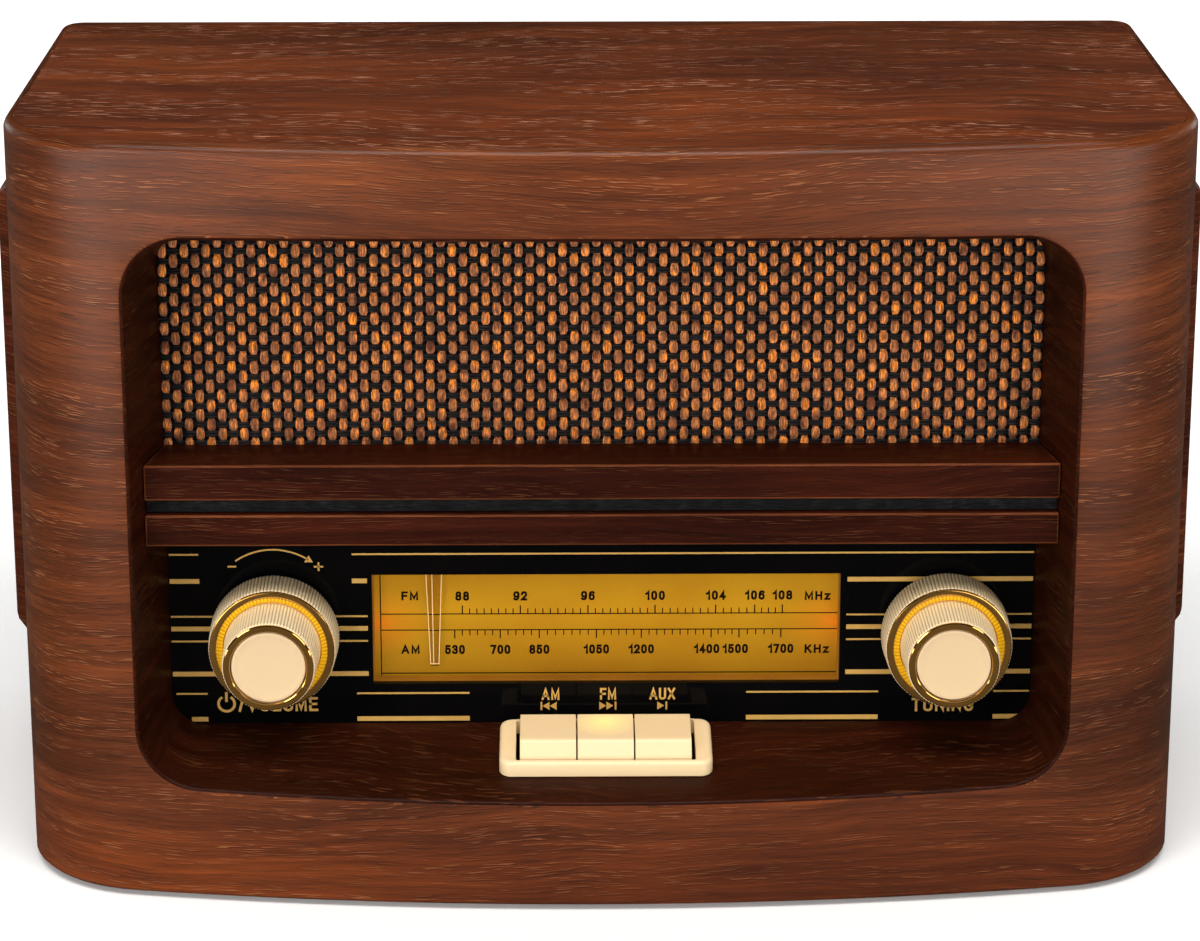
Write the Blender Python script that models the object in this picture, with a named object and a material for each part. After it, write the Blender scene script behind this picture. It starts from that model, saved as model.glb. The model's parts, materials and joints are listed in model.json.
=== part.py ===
"""Tabletop radio: walnut cabinet, cloth grille, lit dial with a cord-driven pointer, two knobs, three keys.

Frame: +X right, +Y to the back, +Z up; the origin is the middle of the footprint on the table.
Lengths below are in millimetres. Depths are counted backwards from the middle of the bowed front,
heights from the underside of the cabinet, and place() turns both into the part's metres.
"""
import math

import bmesh
import bpy
from mathutils import Vector

MM = 0.001

# Cabinet
CABINET_W = 320.0
CABINET_H = 211.0
CABINET_D = 170.0
FOOT_DROP = 1.5
BOW_R = 785.0
CORNER_R = 37.0
TOP_ROUND = 3.0
BASE_CHAMFER = 1.0
BACK_CORNER_R = 7.0
BOARD_T = 12.0
FRAME_D = 48.0
GAP = 0.3

# Opening in the front frame: its walls taper inwards to the dial plane
DIAL_Y = 40.5
OPEN_HALF_W = 127.96
OPEN_SIDE_TAPER = 0.204
OPEN_BOTTOM = 30.2
OPEN_TOP = 186.7
OPEN_SLOPE = 0.178
OPEN_FRONT_R = 18.0
OPEN_BACK_R = 9.0
POCKET_HALF_W = 126.3
POCKET_BOTTOM = 32.7
POCKET_TOP = 196.3

# Rails across the opening
RAIL_Y = 21.0
STRIP_Y = 23.5
UPPER_RAIL_Z = (109.5, 119.4)
STRIP_Z = (105.6, 109.2)
LOWER_RAIL_Z = (96.5, 105.3)

# Side trims
TRIM_OUT = 167.4
TRIM_Y = (70.0, 155.0)
TRIM_Z = (50.0, 187.0)
TRIM_CHAMFER = 5.5

# Dial
PLATE_T = 2.0
WINDOW_X = (-63.6, 66.1)
WINDOW_Z = (49.0, 81.2)
SCALE_X = (-66.2, 68.7)
SCALE_Z = (46.4, 83.8)
POINTER_X = -46.6
PULLEY_R = 5.0
DRUM_R = 30.0
CORD_Y = 58.0
CORD_R = 0.4
DRUM_AT = (10.0, 58.0)
GUIDE_POSTS = ((-84.0, 95.0), (80.0, 95.0))
POST_R = 4.0
ROD_AT = (50.0, 93.5)
ROD_R = 1.5

# Knobs
VOLUME_AT = (-90.6, 64.0)
TUNING_AT = (95.3, 64.0)
KNOB_BASE_Y = 38.75
KNOB_FRONT_Y = 14.15
SKIRT_RIBS = 44
GRIP_RIBS = 36
RIB_DEPTH = 0.45
SHAFT_R = 3.0

# Button console
BEZEL_X = (-28.3, 30.1)
BEZEL_Y = (12.5, 35.4)
BEZEL_T = 4.3
CUTOUT_X = (-23.8, 25.5)
CUTOUT_Y = (14.2, 34.2)
KEY_PITCH = 15.8
KEY_W = 15.4
KEY_MID_X = 0.86
KEY_BOTTOM = 32.5
SWITCH_TOP = 30.4
WELL_FLOOR = 22.0

# Speakers
SPEAKER_X = 68.0
SPEAKER_Z = 154.0
SPEAKER_HOLE_R = 29.0

COLOURS = {
    "walnut": ((0.16, 0.065, 0.03), 0.35, 0.0),
    "board": ((0.45, 0.32, 0.2), 0.7, 0.0),
    "black_felt": ((0.015, 0.015, 0.015), 0.95, 0.0),
    "cloth": ((0.12, 0.055, 0.03), 0.9, 0.0),
    "gloss_black": ((0.006, 0.006, 0.007), 0.08, 0.0),
    "clear": ((0.85, 0.85, 0.82), 0.05, 0.0),
    "amber": ((0.75, 0.32, 0.03), 0.4, 0.0),
    "white_plastic": ((0.8, 0.8, 0.76), 0.4, 0.0),
    "lamp": ((1.0, 0.55, 0.2), 0.3, 0.0),
    "steel": ((0.6, 0.6, 0.62), 0.3, 1.0),
    "cream": ((0.85, 0.72, 0.48), 0.35, 0.0),
    "gold": ((0.7, 0.48, 0.2), 0.25, 1.0),
    "rubber": ((0.02, 0.02, 0.02), 0.8, 0.0),
    "black_plastic": ((0.03, 0.03, 0.03), 0.5, 0.0),
    "circuit_board": ((0.05, 0.22, 0.08), 0.5, 0.0),
    "ferrite": ((0.06, 0.055, 0.05), 0.6, 0.0),
    "speaker_black": ((0.04, 0.04, 0.042), 0.6, 0.0),
    "cord": ((0.5, 0.45, 0.35), 0.8, 0.0),
}


def place(x, y, z):
    """Cabinet millimetres to the part's metres."""
    return Vector((x, y - CABINET_D / 2, z + FOOT_DROP)) * MM


def clear_scene():
    for obj in list(bpy.data.objects):
        bpy.data.objects.remove(obj, do_unlink=True)


def material(slot):
    mat = bpy.data.materials.get(slot)
    if mat is None:
        colour, roughness, metallic = COLOURS[slot]
        mat = bpy.data.materials.new(slot)
        mat.use_nodes = True
        shader = mat.node_tree.nodes["Principled BSDF"]
        shader.inputs["Base Color"].default_value = (*colour, 1.0)
        shader.inputs["Roughness"].default_value = roughness
        shader.inputs["Metallic"].default_value = metallic
    return mat


def finish(name, bm, slot, origin, smooth_deg=None):
    """Turn a bmesh in cabinet millimetres into an object with its origin at the given place."""
    bmesh.ops.recalc_face_normals(bm, faces=bm.faces)
    home = place(*origin)
    for vert in bm.verts:
        vert.co = place(*vert.co) - home
    mesh = bpy.data.meshes.new(name)
    bm.to_mesh(mesh)
    bm.free()
    if mesh.polygons and smooth_deg:
        mesh.shade_smooth()
        mesh.set_sharp_from_angle(angle=math.radians(smooth_deg))
    obj = bpy.data.objects.new(name, mesh)
    obj.location = home
    bpy.context.scene.collection.objects.link(obj)
    mesh.materials.append(material(slot))
    return obj


def loft(name, rings, slot, origin=(0, 0, 0), smooth_deg=None):
    """A closed body through rings of 3-D points with the same count, capped at both ends."""
    bm = bmesh.new()
    rows = [[bm.verts.new(p) for p in ring] for ring in rings]
    count = len(rings[0])
    for low, high in zip(rows, rows[1:]):
        for i in range(count):
            j = (i + 1) % count
            bm.faces.new((low[i], low[j], high[j], high[i]))
    bm.faces.new(rows[0])
    bm.faces.new(rows[-1])
    return finish(name, bm, slot, origin, smooth_deg)


def box(name, x, y, z, slot, origin=(0, 0, 0)):
    rings = [[(x[0], y[0], h), (x[1], y[0], h), (x[1], y[1], h), (x[0], y[1], h)] for h in z]
    return loft(name, rings, slot, origin)


def lathe(name, profile, centre, slot, segments=32, ribs=0, smooth_deg=35, axis="Y", origin=None):
    """Turn a closed (radius, along) profile about a line parallel to Y, X or Z through centre.

    Points written with a third value of True are ribbed. A radius of 0 closes on the axis.
    """
    bm = bmesh.new()
    steps = ribs * 2 if ribs else segments
    rows = []
    for point in profile:
        radius, along = point[0], point[1]
        ribbed = len(point) > 2 and point[2]
        row = []
        for k in range(steps):
            r = radius - (RIB_DEPTH if ribbed and k % 2 else 0.0)
            a = 2 * math.pi * k / steps
            u, v = r * math.cos(a), r * math.sin(a)
            if axis == "Y":
                co = (centre[0] + u, along, centre[1] + v)
            elif axis == "X":
                co = (along, centre[0] + u, centre[1] + v)
            else:
                co = (centre[0] + u, centre[1] + v, along)
            row.append(co)
            if radius == 0:
                break
        rows.append([bm.verts.new(co) for co in row])
    for a_row, b_row in zip(rows, rows[1:] + rows[:1]):
        if len(a_row) == 1 and len(b_row) == 1:
            continue
        for k in range(steps):
            j = (k + 1) % steps
            quad = [a_row[k % len(a_row)], a_row[j % len(a_row)], b_row[j % len(b_row)], b_row[k % len(b_row)]]
            bm.faces.new(list(dict.fromkeys(quad)))
    if origin is None:
        origin = {"Y": (centre[0], profile[0][1], centre[1]), "X": (profile[0][1], *centre)}.get(
            axis, (*centre, profile[0][1]))
    return finish(name, bm, slot, origin, smooth_deg)


def boolean(obj, tool, operation="DIFFERENCE"):
    """Cut or join with the exact solver, keep the result as the object's own mesh, drop the tool."""
    tool.hide_render = True
    tool.display_type = "WIRE"
    mod = obj.modifiers.new("shape", "BOOLEAN")
    mod.operation = operation
    mod.solver = "EXACT"
    mod.object = tool
    bpy.context.view_layer.update()
    graph = bpy.context.evaluated_depsgraph_get()
    mesh = bpy.data.meshes.new_from_object(obj.evaluated_get(graph))
    mesh.name = obj.name
    obj.modifiers.clear()
    obj.data = mesh
    bpy.data.objects.remove(tool, do_unlink=True)
    return obj


def cut_box(obj, x, y, z):
    return boolean(obj, box("tool", x, y, z, "board"))


def cut_round(obj, centre, radius, along, axis="Y", segments=24):
    profile = [(0, along[0]), (radius, along[0]), (radius, along[1]), (0, along[1])]
    return boolean(obj, lathe("tool", profile, centre, "board", segments, axis=axis))


def arc(cx, cy, radius, start, end, steps):
    return [(cx + radius * math.cos(math.radians(start + (end - start) * k / steps)),
             cy + radius * math.sin(math.radians(start + (end - start) * k / steps)))
            for k in range(steps + 1)]


def round_rect(x0, x1, z0, z1, radius, steps=6):
    """Rounded rectangle, counter-clockwise from the lower left corner."""
    pts = arc(x0 + radius, z0 + radius, radius, 180, 270, steps)
    pts += arc(x1 - radius, z0 + radius, radius, 270, 360, steps)
    pts += arc(x1 - radius, z1 - radius, radius, 0, 90, steps)
    pts += arc(x0 + radius, z1 - radius, radius, 90, 180, steps)
    return pts


def front_plan(offset, back):
    """Plan of the bowed front with its rounded corners, inset by offset, closed by a straight back."""
    half = CABINET_W / 2
    cx = half - CORNER_R
    cy = BOW_R - math.sqrt((BOW_R - CORNER_R) ** 2 - cx ** 2)
    turn = math.degrees(math.atan2(cx, BOW_R - cy))
    left = arc(-cx, cy, CORNER_R - offset, 180, 270 - turn, 9)
    bow = arc(0, BOW_R, BOW_R - offset, 270 - turn, 270 + turn, 26)
    right = arc(cx, cy, CORNER_R - offset, 270 + turn, 360, 9)
    return [(-half + offset, back)] + left + bow[1:-1] + right + [(half - offset, back)]


def back_plan(offset, front):
    """Plan of the cabinet behind the front frame, with rounded back corners."""
    half = CABINET_W / 2
    r = BACK_CORNER_R
    pts = [(-half + offset, front), (half - offset, front)]
    pts += arc(half - r, CABINET_D - r, r - offset, 0, 90, 6)
    pts += arc(-half + r, CABINET_D - r, r - offset, 90, 180, 6)
    return pts


def rounded_levels(bottom, top, chamfer, radius):
    """(height, inset) pairs from a chamfered base to a rounded top."""
    levels = []
    if chamfer:
        levels += [(bottom, chamfer), (bottom + chamfer, 0.0)]
    else:
        levels += [(bottom, 0.0)]
    for k in range(5):
        a = math.pi / 2 * k / 4
        levels.append((top - radius + radius * math.sin(a), radius * (1 - math.cos(a))))
    return levels


def opening_half(y):
    return OPEN_HALF_W - OPEN_SIDE_TAPER * y


def sill(y):
    return OPEN_BOTTOM + OPEN_SLOPE * y


def build_cabinet():
    # Front frame with its tapered opening, the pocket behind it and the key well in the sill
    levels = rounded_levels(0.0, CABINET_H, BASE_CHAMFER, TOP_ROUND)
    rings = [[(x, y, z) for x, y in front_plan(off, FRAME_D)] for z, off in levels]
    frame = loft("front_frame", rings, "walnut", (0, 0, 0), 30)
    rings = []
    for y, radius in ((-5.0, OPEN_FRONT_R + 1.5), (DIAL_Y - GAP, OPEN_BACK_R)):
        half = opening_half(y)
        outline = round_rect(-half, half, sill(y), OPEN_TOP - OPEN_SLOPE * y, radius)
        rings.append([(x, y, z) for x, z in outline])
    boolean(frame, loft("tool", rings, "board"))
    cut_box(frame, (-POCKET_HALF_W, POCKET_HALF_W), (DIAL_Y - GAP, FRAME_D + 5), (POCKET_BOTTOM, POCKET_TOP))
    cut_box(frame, CUTOUT_X, CUTOUT_Y, (WELL_FLOOR, 60.0))

    # Boards behind the frame, rebated at the back for the cover
    front = FRAME_D + GAP
    levels = rounded_levels(CABINET_H - BOARD_T, CABINET_H, 0.0, TOP_ROUND)
    rings = [[(x, y, z) for x, y in back_plan(off, front)] for z, off in levels]
    top = loft("top_board", rings, "walnut", (0, front, CABINET_H), 30)
    rings = [[(x, y, z) for x, y in back_plan(off, front)] for z, off in
             ((0.0, BASE_CHAMFER), (BASE_CHAMFER, 0.0), (BOARD_T, 0.0))]
    bottom = loft("bottom_board", rings, "walnut", (0, front, 0), 30)
    inner = CABINET_W / 2 - BOARD_T
    sides = []
    for name, sign in (("left", -1), ("right", 1)):
        plan = [(sign * inner, front), (sign * CABINET_W / 2, front)]
        plan += [(sign * x, y) for x, y in
                 arc(CABINET_W / 2 - BACK_CORNER_R, CABINET_D - BACK_CORNER_R, BACK_CORNER_R, 0, 90, 6)]
        plan += [(sign * inner, CABINET_D)]
        rings = [[(x, y, z) for x, y in plan] for z in (BOARD_T + GAP, CABINET_H - BOARD_T - GAP)]
        board = loft("side_board_" + name, rings, "walnut", (sign * CABINET_W / 2, front, 0), 30)
        for z in (45.0, 168.0):
            cut_round(board, (sign * 151.0, z), 1.8, (150.0, 164.0), segments=12)
        sides.append(board)
    for board in [top, bottom] + sides:
        cut_box(board, (-154.0, 154.0), (162.7, 175.0), (6.0, 205.0))
    for x in (-125.0, 125.0):
        for y in (60.0, 145.0):
            cut_round(bottom, (x, y), 9.3, (-1.0, 1.5), "Z", 20)

    # Raised side trims with chamfered edges
    for name, sign in (("left", -1), ("right", 1)):
        rings = []
        inset_x = CABINET_W / 2 + GAP
        for x, inset in ((inset_x, 0.0), (inset_x + 1.6, 0.0), (TRIM_OUT, TRIM_CHAMFER)):
            outline = round_rect(TRIM_Y[0] + inset, TRIM_Y[1] - inset, TRIM_Z[0] + inset, TRIM_Z[1] - inset,
                                 4.0 - inset * 0.4, 3)
            rings.append([(sign * x, y, z) for y, z in outline])
        loft("side_trim_" + name, rings, "walnut", (sign * inset_x, TRIM_Y[0], TRIM_Z[0]), 20)

    # Feet
    for k, (x, y) in enumerate(((-125, 60), (125, 60), (-125, 145), (125, 145)), 1):
        profile = [(0, -FOOT_DROP), (8.0, -FOOT_DROP), (9.0, -0.5), (9.0, 1.2), (0, 1.2)]
        lathe("foot_%d" % k, profile, (x, y), "rubber", 20, axis="Z")


def build_rear():
    cover = box("rear_cover", (-153.7, 153.7), (163.0, 166.0), (6.3, 204.7), "black_plastic", (0, 163, 6.3))
    for k in range(6):
        z = 96.0 + 10.0 * k
        for x in (-85.0, 15.0):
            outline = round_rect(x, x + 70.0, z, z + 4.0, 1.9, 2)
            rings = [[(px, y, pz) for px, pz in outline] for y in (160.0, 170.0)]
            boolean(cover, loft("tool", rings, "board"))
    for x in (-151.0, 151.0):
        for z in (45.0, 168.0):
            cut_round(cover, (x, z), 1.8, (160.0, 170.0), segments=12)
    inlet_hole = [[(x, y, z) for x, z in round_rect(-118.3, -93.7, 26.7, 41.3, 5.0, 4)] for y in (160.0, 170.0)]
    boolean(cover, loft("tool", inlet_hole, "board"))
    cut_round(cover, (104.0, 34.0), 5.3, (160.0, 170.0), segments=20)

    for k, (x, z) in enumerate(((-151, 45), (151, 45), (-151, 168), (151, 168)), 1):
        profile = [(0, 152.5), (0.8, 152.5), (1.5, 154.5), (1.5, 166.3), (2.7, 166.3), (2.7, 166.9), (1.9, 167.8),
                   (0, 168.1)]
        lathe("rear_screw_%d" % k, profile, (x, z), "steel", 16)

    rings = [[(x, y, z) for x, z in round_rect(-118.0, -94.0, 27.0, 41.0, 4.7, 4)] for y in (145.0, 166.6)]
    inlet = loft("power_inlet", rings, "black_plastic", (-106, 145, 34), 30)
    rings = [[(x, y, z) for x, z in round_rect(-114.5, -97.5, 30.0, 38.0, 3.9, 4)] for y in (150.0, 170.0)]
    boolean(inlet, loft("tool", rings, "board"))
    for x in (-110.3, -101.7):
        pin = lathe("tool", [(0, 148.0), (1.2, 148.0), (1.2, 162.0), (0, 162.6)], (x, 34.0), "steel", 12)
        boolean(inlet, pin, "UNION")
    profile = [(0, 150.0), (5.0, 150.0), (5.0, 166.6), (1.8, 166.6), (1.8, 153.0), (0, 153.0)]
    lathe("aux_socket", profile, (104.0, 34.0), "black_plastic", 20)


def build_grille():
    box("grille_cloth", (-126.0, 126.0), (DIAL_Y, DIAL_Y + 0.8), (112.0, 196.0), "cloth", (0, DIAL_Y, 154))
    baffle = box("speaker_baffle", (-126.0, 126.0), (41.6, 47.7), (108.5, 196.0), "board", (0, 41.6, 154))
    for x in (-SPEAKER_X, SPEAKER_X):
        cut_round(baffle, (x, SPEAKER_Z), SPEAKER_HOLE_R, (38.0, 52.0), segments=32)
    for name, z, y, slot in (("upper_rail", UPPER_RAIL_Z, RAIL_Y, "walnut"),
                             ("groove_strip", STRIP_Z, STRIP_Y, "black_felt"),
                             ("lower_rail", LOWER_RAIL_Z, RAIL_Y, "walnut")):
        back = DIAL_Y - GAP
        a, b = opening_half(y) - GAP, opening_half(back) - GAP
        ease = 0.7 if slot == "walnut" else 0.0
        levels = [(z[0], 0.0), (z[1], 0.0)]
        if ease:
            levels = [(z[0], ease), (z[0] + ease, 0.0), (z[1] - ease, 0.0), (z[1], ease)]
        rings = [[(-a, y + inset, h), (a, y + inset, h), (b, back, h), (-b, back, h)] for h, inset in levels]
        loft(name, rings, slot, (0, y, z[0]))
    for name, x in (("left", -SPEAKER_X), ("right", SPEAKER_X)):
        profile = [(0, 58.0), (8.0, 60.5), (10.0, 60.0), (28.0, 50.0), (31.0, 48.6), (33.0, 48.2), (33.0, 50.2),
                   (30.0, 51.0), (23.0, 63.0), (23.0, 76.0), (0, 76.0)]
        lathe("speaker_" + name, profile, (x, SPEAKER_Z), "speaker_black", 24)


def build_dial():
    plate = box("dial_plate", (-126.0, 126.0), (DIAL_Y, DIAL_Y + PLATE_T), (33.0, 107.9), "gloss_black",
                (0, DIAL_Y, 33))
    cut_box(plate, WINDOW_X, (DIAL_Y - 3, DIAL_Y + 8), WINDOW_Z)
    for centre in (VOLUME_AT, TUNING_AT):
        cut_round(plate, centre, 4.0, (DIAL_Y - 3, DIAL_Y + 8), segments=20)
    box("dial_window", (WINDOW_X[0] + GAP, WINDOW_X[1] - GAP), (41.3, DIAL_Y + PLATE_T),
        (WINDOW_Z[0] + GAP, WINDOW_Z[1] - GAP), "clear", (0, 41.3, 64))
    box("dial_scale", SCALE_X, (46.0, 46.8), SCALE_Z, "amber", (0, 46, 64))
    tray = box("light_box", SCALE_X, (47.1, 55.0), SCALE_Z, "white_plastic", (0, 47.1, 64))
    cut_box(tray, (SCALE_X[0] + 1.5, SCALE_X[1] - 1.5), (46.0, 53.5), (SCALE_Z[0] + 1.5, SCALE_Z[1] - 1.5))
    for name, x in (("left", SCALE_X[0] + 3.8), ("right", SCALE_X[1] - 3.8)):
        profile = [(0, 48.0), (1.2, 48.3), (2.0, 49.3), (2.0, 53.2), (0, 53.2)]
        lathe("dial_lamp_" + name, profile, (x, 65.0), "lamp", 16)

    # Pointer, its carriage and the rod it runs on
    rings = [[(POINTER_X - half, y, z) for half, z in ((1.35, 52.8), (-1.35, 52.8), (-2.45, 84.0), (-2.45, 97.0),
                                                     (2.45, 97.0), (2.45, 84.0))]
             for y in (44.2, 45.4)]
    loft("pointer", rings, "clear", (POINTER_X, 44.2, 64))
    carriage = box("pointer_carriage", (POINTER_X - 5, POINTER_X + 5), (45.7, 60.0), (89.5, 98.8), "white_plastic",
                   (POINTER_X, 45.7, 93.5))
    cut_round(carriage, ROD_AT, ROD_R + GAP, (POINTER_X - 10, POINTER_X + 10), "X", 16)
    lathe("guide_rod", [(0, -126.7), (ROD_R, -126.7), (ROD_R, 126.7), (0, 126.7)], ROD_AT, "steel", 16, axis="X")

    # Sheet chassis: a hat section across the back of the dial, with the two cord posts
    hat = [(-142, 48.3), (-127, 48.3), (-127, 61), (127, 61), (127, 48.3), (142, 48.3), (142, 49.8), (128.5, 49.8),
           (128.5, 62.5), (-128.5, 62.5), (-128.5, 49.8), (-142, 49.8)]
    chassis = loft("dial_chassis", [[(x, y, z) for x, y in hat] for z in (22.0, 104.0)], "steel", (0, 61, 22))
    for centre in GUIDE_POSTS:
        profile = [(0, 56.0), (POST_R, 56.0), (POST_R, 61.5), (0, 61.5)]
        boolean(chassis, lathe("tool", profile, centre, "steel", 20), "UNION")
    for centre in (TUNING_AT, DRUM_AT):
        cut_round(chassis, centre, SHAFT_R + GAP, (60.0, 64.0), segments=20)

    # Drum on the capacitor's shaft, and the capacitor
    rim = CORD_Y - 1.5
    profile = [(0, 55.6), (6.0, 55.6), (6.0, rim + 0.9), (27.0, rim + 0.9), (27.0, rim), (31.0, rim),
               (31.0, rim + 0.5), (DRUM_R - 0.7, CORD_Y), (31.0, rim + 2.5), (31.0, rim + 3.0), (27.0, rim + 3.0),
               (27.0, rim + 2.2), (6.0, rim + 2.2), (6.0, 60.4), (SHAFT_R, 60.4), (SHAFT_R, 78.0), (0, 78.0)]
    lathe("tuning_drum", profile, DRUM_AT, "white_plastic", 30)
    body = box("tuning_capacitor", (DRUM_AT[0] - 13, DRUM_AT[0] + 13), (62.8, 84.0),
               (DRUM_AT[1] - 13, DRUM_AT[1] + 13), "steel", (DRUM_AT[0], 62.8, DRUM_AT[1]))
    cut_round(body, DRUM_AT, SHAFT_R + GAP, (60.0, 80.0), segments=20)

    # Dial cord: one closed loop round the posts, the tuning pulley and the drum
    wheels = [(GUIDE_POSTS[0], POST_R + 0.7), (GUIDE_POSTS[1], POST_R + 0.7), (TUNING_AT, PULLEY_R + 0.7),
              (DRUM_AT, DRUM_R + 0.7)]
    cord_loop("dial_cord", wheels)


def cord_loop(name, wheels):
    """A round cord pulled tight over the outer sides of wheels listed clockwise seen from the front."""
    tangents = []
    count = len(wheels)
    for i in range(count):
        (p, a), (q, b) = wheels[i], wheels[(i + 1) % count]
        d = Vector((q[0] - p[0], q[1] - p[1]))
        base = math.atan2(d.y, d.x)
        lean = math.acos((a - b) / d.length)
        tangents.append(math.degrees(base + lean))
    path = []
    for i, (centre, radius) in enumerate(wheels):
        start, end = tangents[i - 1], tangents[i]
        while end > start:
            end -= 360
        while end < start - 360:
            end += 360
        steps = max(3, int((start - end) / 15))
        path += [(x, CORD_Y, z) for x, z in arc(centre[0], centre[1], radius, start, end, steps)]
    bm = bmesh.new()
    rows = []
    for i, point in enumerate(path):
        before, here, after = Vector(path[i - 1]), Vector(point), Vector(path[(i + 1) % len(path)])
        tangent = (after - before).normalized()
        side = tangent.cross(Vector((0, 1, 0))).normalized()
        rows.append([bm.verts.new(here + side * CORD_R * math.cos(k * math.pi / 3)
                                  + Vector((0, 1, 0)) * CORD_R * math.sin(k * math.pi / 3)) for k in range(6)])
    for low, high in zip(rows, rows[1:] + rows[:1]):
        for k in range(6):
            j = (k + 1) % 6
            bm.faces.new((low[k], low[j], high[j], high[k]))
    return finish(name, bm, "cord", (path[0][0], CORD_Y, path[0][2]), 60)


def build_knob(prefix, centre):
    """Skirt, dish ring, grip, front ring and cap, all turned about the shaft."""
    base, front = KNOB_BASE_Y, KNOB_FRONT_Y
    hole = SHAFT_R + GAP
    ring_y = base - 11.5
    origin = (centre[0], base, centre[1])
    floor = base - 3.25
    profile = [(hole, base), (17.95, base, True), (17.3, ring_y + 0.8, True), (14.95, ring_y + 0.8), (14.95, floor),
               (hole, floor)]
    lathe(prefix + "_skirt", profile, centre, "cream", ribs=SKIRT_RIBS, origin=origin)
    profile = [(13.6, ring_y), (16.9, ring_y), (17.1, ring_y + 0.2), (17.1, ring_y + 0.5), (14.65, ring_y + 0.5),
               (14.65, floor - GAP), (14.1, floor - GAP), (14.1, ring_y + 0.5), (13.6, ring_y + 0.5)]
    lathe(prefix + "_dish", profile, centre, "gold", 36, origin=origin)
    grip_front = front + 0.9
    grip_back = floor - GAP
    profile = [(hole, grip_back), (13.25, grip_back, True), (12.75, grip_front, True), (10.5, grip_front),
               (10.5, front + 4.2), (0, front + 4.2), (0, front + 8.0), (hole, front + 8.0)]
    lathe(prefix + "_grip", profile, centre, "cream", ribs=GRIP_RIBS, origin=origin)
    profile = [(10.45, front + 0.1), (10.55, front), (12.1, front), (12.25, front + 0.15), (12.25, front + 0.6),
               (10.45, front + 0.6)]
    lathe(prefix + "_ring", profile, centre, "gold", 36, origin=origin)
    profile = [(0, front + 0.9), (7.0, front + 0.75), (9.4, front + 0.35), (9.9, front + 0.5), (10.15, front + 0.9),
               (10.15, front + 3.9), (0, front + 3.9)]
    lathe(prefix + "_cap", profile, centre, "cream", 32, origin=origin)


def build_controls():
    build_knob("volume", VOLUME_AT)
    build_knob("tuning", TUNING_AT)
    tip = KNOB_FRONT_Y + 8.3
    profile = [(0, tip), (SHAFT_R, tip), (SHAFT_R, 57.7), (0, 57.7)]
    lathe("volume_shaft", profile, VOLUME_AT, "steel", 20, origin=(VOLUME_AT[0], KNOB_BASE_Y, VOLUME_AT[1]))
    profile = [(0, tip), (SHAFT_R, tip), (SHAFT_R, 56.0), (PULLEY_R + 1, 56.0), (PULLEY_R, 57.2), (PULLEY_R, 58.8),
               (PULLEY_R + 1, 60.0), (PULLEY_R + 1, 60.5), (SHAFT_R, 60.5), (SHAFT_R, 67.0), (0, 67.0)]
    lathe("tuning_shaft", profile, TUNING_AT, "steel", 20, origin=(TUNING_AT[0], KNOB_BASE_Y, TUNING_AT[1]))
    hole = SHAFT_R + GAP
    profile = [(hole, 43.0), (4.8, 43.0), (4.8, 50.5), (8.5, 50.5), (8.5, 60.7), (0, 60.7), (0, 58.0), (hole, 58.0)]
    lathe("volume_pot", profile, VOLUME_AT, "steel", 24)

    # Button console on the sill
    rings = []
    for rise, inset in ((GAP, 0.0), (BEZEL_T - 0.8, 0.0), (BEZEL_T, 0.8)):
        outline = round_rect(BEZEL_X[0] + inset, BEZEL_X[1] - inset, BEZEL_Y[0] + inset, BEZEL_Y[1] - inset,
                             3.3 - inset, 4)
        rings.append([(x, y, sill(y) + rise) for x, y in outline])
    bezel = loft("button_bezel", rings, "cream", (BEZEL_X[0], BEZEL_Y[0], 33), 30)
    cut_box(bezel, CUTOUT_X, CUTOUT_Y, (20.0, 60.0))
    for name, step in (("key_am", -1), ("key_fm", 0), ("key_aux", 1)):
        x = KEY_MID_X + step * KEY_PITCH
        side = [(33.5, KEY_BOTTOM), (33.5, 41.9), (32.9, 42.7), (18.6, 41.6), (17.5, 41.1), (15.2, 37.6),
                (15.0, 36.9), (15.0, KEY_BOTTOM)]
        rings = [[(x + half, y, z) for y, z in side] for half in (-KEY_W / 2, KEY_W / 2)]
        loft(name, rings, "cream", (x, 24.0, KEY_BOTTOM))
    comb = [(-22.5, WELL_FLOOR + GAP), (24.2, WELL_FLOOR + GAP), (24.2, 24.3)]
    for step in (1, 0, -1):
        x = KEY_MID_X + step * KEY_PITCH
        comb += [(x + 3, 24.3), (x + 3, 27.8), (x + 1.5, 27.8), (x + 1.5, SWITCH_TOP), (x - 1.5, SWITCH_TOP),
                 (x - 1.5, 27.8), (x - 3, 27.8), (x - 3, 24.3)]
    comb += [(-22.5, 24.3)]
    rings = [[(x, y, z) for x, z in comb] for y in (20.0, 29.0)]
    loft("key_board", rings, "circuit_board", (0, 20, WELL_FLOOR + GAP))


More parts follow.
